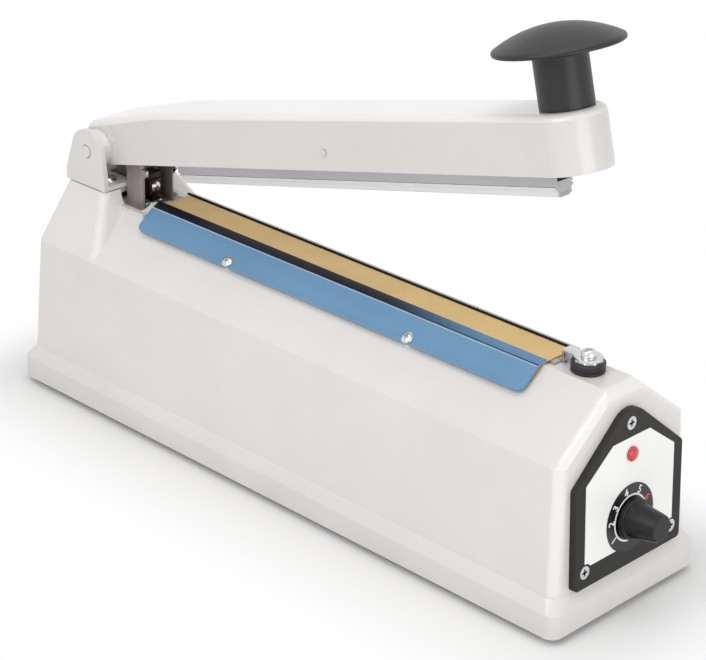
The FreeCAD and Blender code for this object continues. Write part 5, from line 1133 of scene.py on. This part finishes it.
@dataclass
class TimerPanel(Assembly):
    """Gable panel with its label, dial, lamp and knob, measured on the end wall."""

    face: float = 3.0
    label_face: float = 3.2
    dial_face: float = 3.5
    dial_height: float = 21.4
    lamp_height: float = 48.3
    screw_places: tuple[tuple[float, float], ...] = ((-26.2, 7.7), (26.2, 7.7), (0, 60.8))
    recess_shade: float = 0.12
    numeral_radius: float = 11.3
    numeral_angles: tuple[float, ...] = (213, 174, 142, 104, 62, 27)
    numeral_size: float = 4.6
    numeral_bold: float = 0.07
    print_height: float = 0.03
    knob_gap: float = 0.5
    knob_turn: float = 125.0

    def build(self) -> None:
        """Models everything on the end wall."""
        self.settle(softened("control_panel", 0.45), "panel_black", "base", "control_panel")
        self.make_screws()
        self.make_numerals()
        self.make_ring()
        self.make_lamp()
        self.make_knob()

    def at(self, across: float, up: float, out: float) -> Matrix:
        """Frame at a point of the panel."""
        return panel_frame() @ Matrix.Translation((across, up, out))

    def make_screws(self) -> None:
        """Turns countersunk screws whose cross recesses get painted shade on their floors."""
        screw = turned("sunk_screw", [(1.2, -8.0), (1.5, -7.6), (1.5, -1.2), (2.6, -0.05), (2.68, 0.0), (1.0, 0.02)],
                       40)
        cut_cross(screw, 1.8, 0.5, -1.1, 1, 0.6)
        smooth(screw, 30)
        places = [self.at(across, up, self.face) for across, up in self.screw_places]
        screws = copies(screw, places, "panel_bolts")
        self.settle(screws, "bright_steel", "base", "panel_screws")
        # Painted shade on the faces that lie deeper in the recesses.
        into, floor = panel_frame().inverted(), self.face - self.recess_shade
        self.accent(screws, "painted_shade_black", lambda face: (into @ face.center).z < floor)

    def make_numerals(self) -> None:
        """Prints the dial's numbers, the last one in red."""
        for number, angle in enumerate(self.numeral_angles, 1):
            deselect()
            bpy.ops.object.text_add()
            text = bpy.context.object.data
            text.body = str(number)
            text.align_x = "CENTER"
            text.align_y = "CENTER"
            text.size = self.numeral_size
            text.extrude = self.print_height
            text.offset = self.numeral_bold
            text.resolution_u = 3
            bpy.ops.object.convert(target="MESH")
            numeral = named(bpy.context.object, "numeral_%d" % number)
            turn = math.radians(angle)
            spot = self.at(self.numeral_radius * math.cos(turn), self.dial_height
                           + self.numeral_radius * math.sin(turn), self.dial_face + self.print_height)
            place(numeral, spot @ Matrix.Rotation(turn - math.pi / 2, 4, "Z"))
            last = number == len(self.numeral_angles)
            self.settle(numeral, "numeral_red" if last else "numeral_white", "base", slot="label_white")

    def make_ring(self) -> None:
        """Prints the dial's inner ring line."""
        ring = turned("ring", [(9.75, -0.02), (9.75, 0.05)], 72)
        cut_away(ring, turned("ring_hole", [(9.0, -1), (9.0, 1)], 72))
        place(ring, self.at(0, self.dial_height, self.dial_face))
        self.settle(named(ring, "dial_ring_line"), "numeral_white", "base", slot="label_white")

    def make_lamp(self) -> None:
        """Turns the lamp's domed lens and its collar."""
        foot = self.at(0, self.lamp_height, self.label_face)
        lens = turned("lamp_lens", [(3.0, -0.1), (3.05, 0.8), (2.85, 1.3), (2.35, 1.68), (1.6, 1.9), (0.5, 2.0)])
        smooth(lens, 40)
        place(lens, foot)
        self.settle(lens, "red_lens", "base", "indicator_lamp")
        collar = turned("lamp_collar", [(4.4, -0.1), (4.4, 0.05), (4.25, 0.15), (3.3, 0.15)])
        smooth(collar, 30)
        place(collar, foot)
        self.settle(collar, "label_white", "base")

    def make_knob(self) -> None:
        """Turns the knob: skirt, neck line and a tapering body with a flat end and a pointer groove."""
        knob = turned("knob", [(6.2, 2.0), (6.2, 0.1), (8.35, 0.1), (8.6, 0.4), (8.45, 1.8), (8.1, 2.35), (7.45, 2.5),
                               (7.2, 2.9), (6.9, 5.5), (5.62, 13.9), (5.3, 14.4), (4.9, 14.5), (1.0, 14.5)], 72)
        smooth(knob, 30)
        cut_away(knob, block("groove", (-0.3, 4.6, 3.0), (0.3, 8.0, 15.0)))
        smooth(knob, 30)
        place(knob, self.at(0, self.dial_height, self.dial_face + self.knob_gap)
              @ Matrix.Rotation(math.radians(self.knob_turn), 4, "Z"))
        self.settle(knob, "knob_black", "knob", "timer_knob", slot="black_plastic")


# Floor, light and camera

LAMP_AIM = 70.0


@dataclass(frozen=True)
class Lamp:
    """Soft area lamp that faces the object, with its place and width in millimetres and its power in watts."""

    name: str
    place: tuple[float, float, float]
    size: float
    power: float

    def build(self) -> None:
        """Hangs the lamp."""
        light = bpy.data.lights.new(self.name, "AREA")
        light.size = self.size * MM
        light.energy = self.power
        lamp = bpy.data.objects.new(self.name, light)
        bpy.context.scene.collection.objects.link(lamp)
        lamp.location = Vector(self.place) * MM
        aim = Vector((0, 0, LAMP_AIM * MM)) - Vector(self.place) * MM
        lamp.rotation_euler = aim.to_track_quat("-Z", "Y").to_euler()


LAMPS = (Lamp("end", (690, -120, 120), 400, 1.1), Lamp("key", (60, -560, 520), 420, 1.2),
         Lamp("top", (100, -60, 800), 520, 1.35))


@dataclass
class Studio:
    """Pale floor, soft light and the camera at the photograph's angle.

    Angles are in degrees, the distance, target and lens in millimetres, and the floor's measures in metres.
    """

    azimuth: float = 44.27
    elevation: float = 24.73
    distance: float = 956.0
    target: tuple[float, float, float] = (7.927, -1.353, 68.8)
    lens: float = 117.2
    sensor: float = 36.0
    roll: float = 1.04
    clip: tuple[float, float] = (0.05, 20.0)
    sky: float = 0.62
    floor_size: float = 6.0
    footprint: tuple[float, float] = (0.16, 0.044)
    shadow_span: tuple[float, float] = (0.004, 0.06)

    def build(self) -> None:
        """Adds the floor, world, lamps and camera."""
        self.make_floor()
        self.make_world()
        for lamp in LAMPS:
            lamp.build()
        self.make_camera()
        bpy.context.scene.view_settings.view_transform = "Standard"

    def make_floor(self) -> None:
        """Adds a wide pale floor that keeps the object's shadow and turns white away from it."""
        deselect()
        bpy.ops.mesh.primitive_plane_add(size=self.floor_size, location=(0, 0, 0))
        floor = bpy.context.object
        floor.name = "floor"
        material = bpy.data.materials.new("floor_white")
        material.use_nodes = True
        wiring, nodes = Wiring(material.node_tree), material.node_tree.nodes
        shader = nodes["Principled BSDF"]
        wiring.fill(shader, {"Base Color": display((0.95, 0.95, 0.95)), "Roughness": 0.6})
        split = wiring.add("SeparateXYZ", {0: wiring.add("TexCoord", {}).outputs["Object"]}).outputs
        beyond = [wiring.math("SUBTRACT", wiring.math("ABSOLUTE", split[axis]), half)
                  for axis, half in zip(("X", "Y"), self.footprint)]
        near, far = self.shadow_span
        away = wiring.add("MapRange", {"Value": wiring.math("MAXIMUM", *beyond), "From Min": near, "From Max": far},
                          interpolation_type="SMOOTHSTEP")
        white = wiring.math("MULTIPLY", wiring.seen(), away.outputs["Result"])
        mix = wiring.add("MixShader", {0: white, 1: shader.outputs[0], 2: wiring.add("Emission", {}).outputs[0]})
        wiring.fill(nodes["Material Output"], {"Surface": mix.outputs[0]})
        floor.data.materials.append(material)

    def make_world(self) -> None:
        """Lights the scene evenly and shows white behind it."""
        world = bpy.data.worlds.new("studio")
        world.use_nodes = True
        bpy.context.scene.world = world
        wiring = Wiring(world.node_tree)
        strength = wiring.add("MapRange", {"Value": wiring.seen(), "To Min": self.sky, "To Max": 1.0})
        wiring.fill(world.node_tree.nodes["Background"],
                    {"Color": (1, 1, 1, 1), "Strength": strength.outputs["Result"]})

    def make_camera(self) -> None:
        """Sets the camera at the photograph's angle."""
        across, rise = math.radians(self.azimuth), math.radians(self.elevation)
        back = Vector((math.sin(across) * math.cos(rise), -math.cos(across) * math.cos(rise), math.sin(rise)))
        data = bpy.data.cameras.new("camera")
        data.lens = self.lens
        data.sensor_width = self.sensor
        data.clip_start, data.clip_end = self.clip
        camera = bpy.data.objects.new("camera", data)
        bpy.context.scene.collection.objects.link(camera)
        camera.location = (Vector(self.target) + back * self.distance) * MM
        turn = back.to_track_quat("Z", "Y") @ Matrix.Rotation(math.radians(self.roll), 3, "Z").to_quaternion()
        camera.rotation_euler = turn.to_euler()
        bpy.context.scene.camera = camera


def main() -> None:
    """Dresses the nodes by their slots, then builds every sub-assembly and the studio."""
    logging.basicConfig(level=logging.INFO, format="%(message)s")
    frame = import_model()
    wardrobe = Wardrobe()
    for entry in frame["record"]["subparts"]:
        wardrobe.dress(frame["nodes"][entry["node"]], entry["material_slot"])
    for assembly in (Housing(wardrobe), Hinge(wardrobe), Arm(wardrobe), PressureBar(wardrobe), SealBed(wardrobe),
                     FrontTerminal(wardrobe), TimerPanel(wardrobe), Studio()):
        assembly.build()
    deselect()


if __name__ == "__main__":
    main()
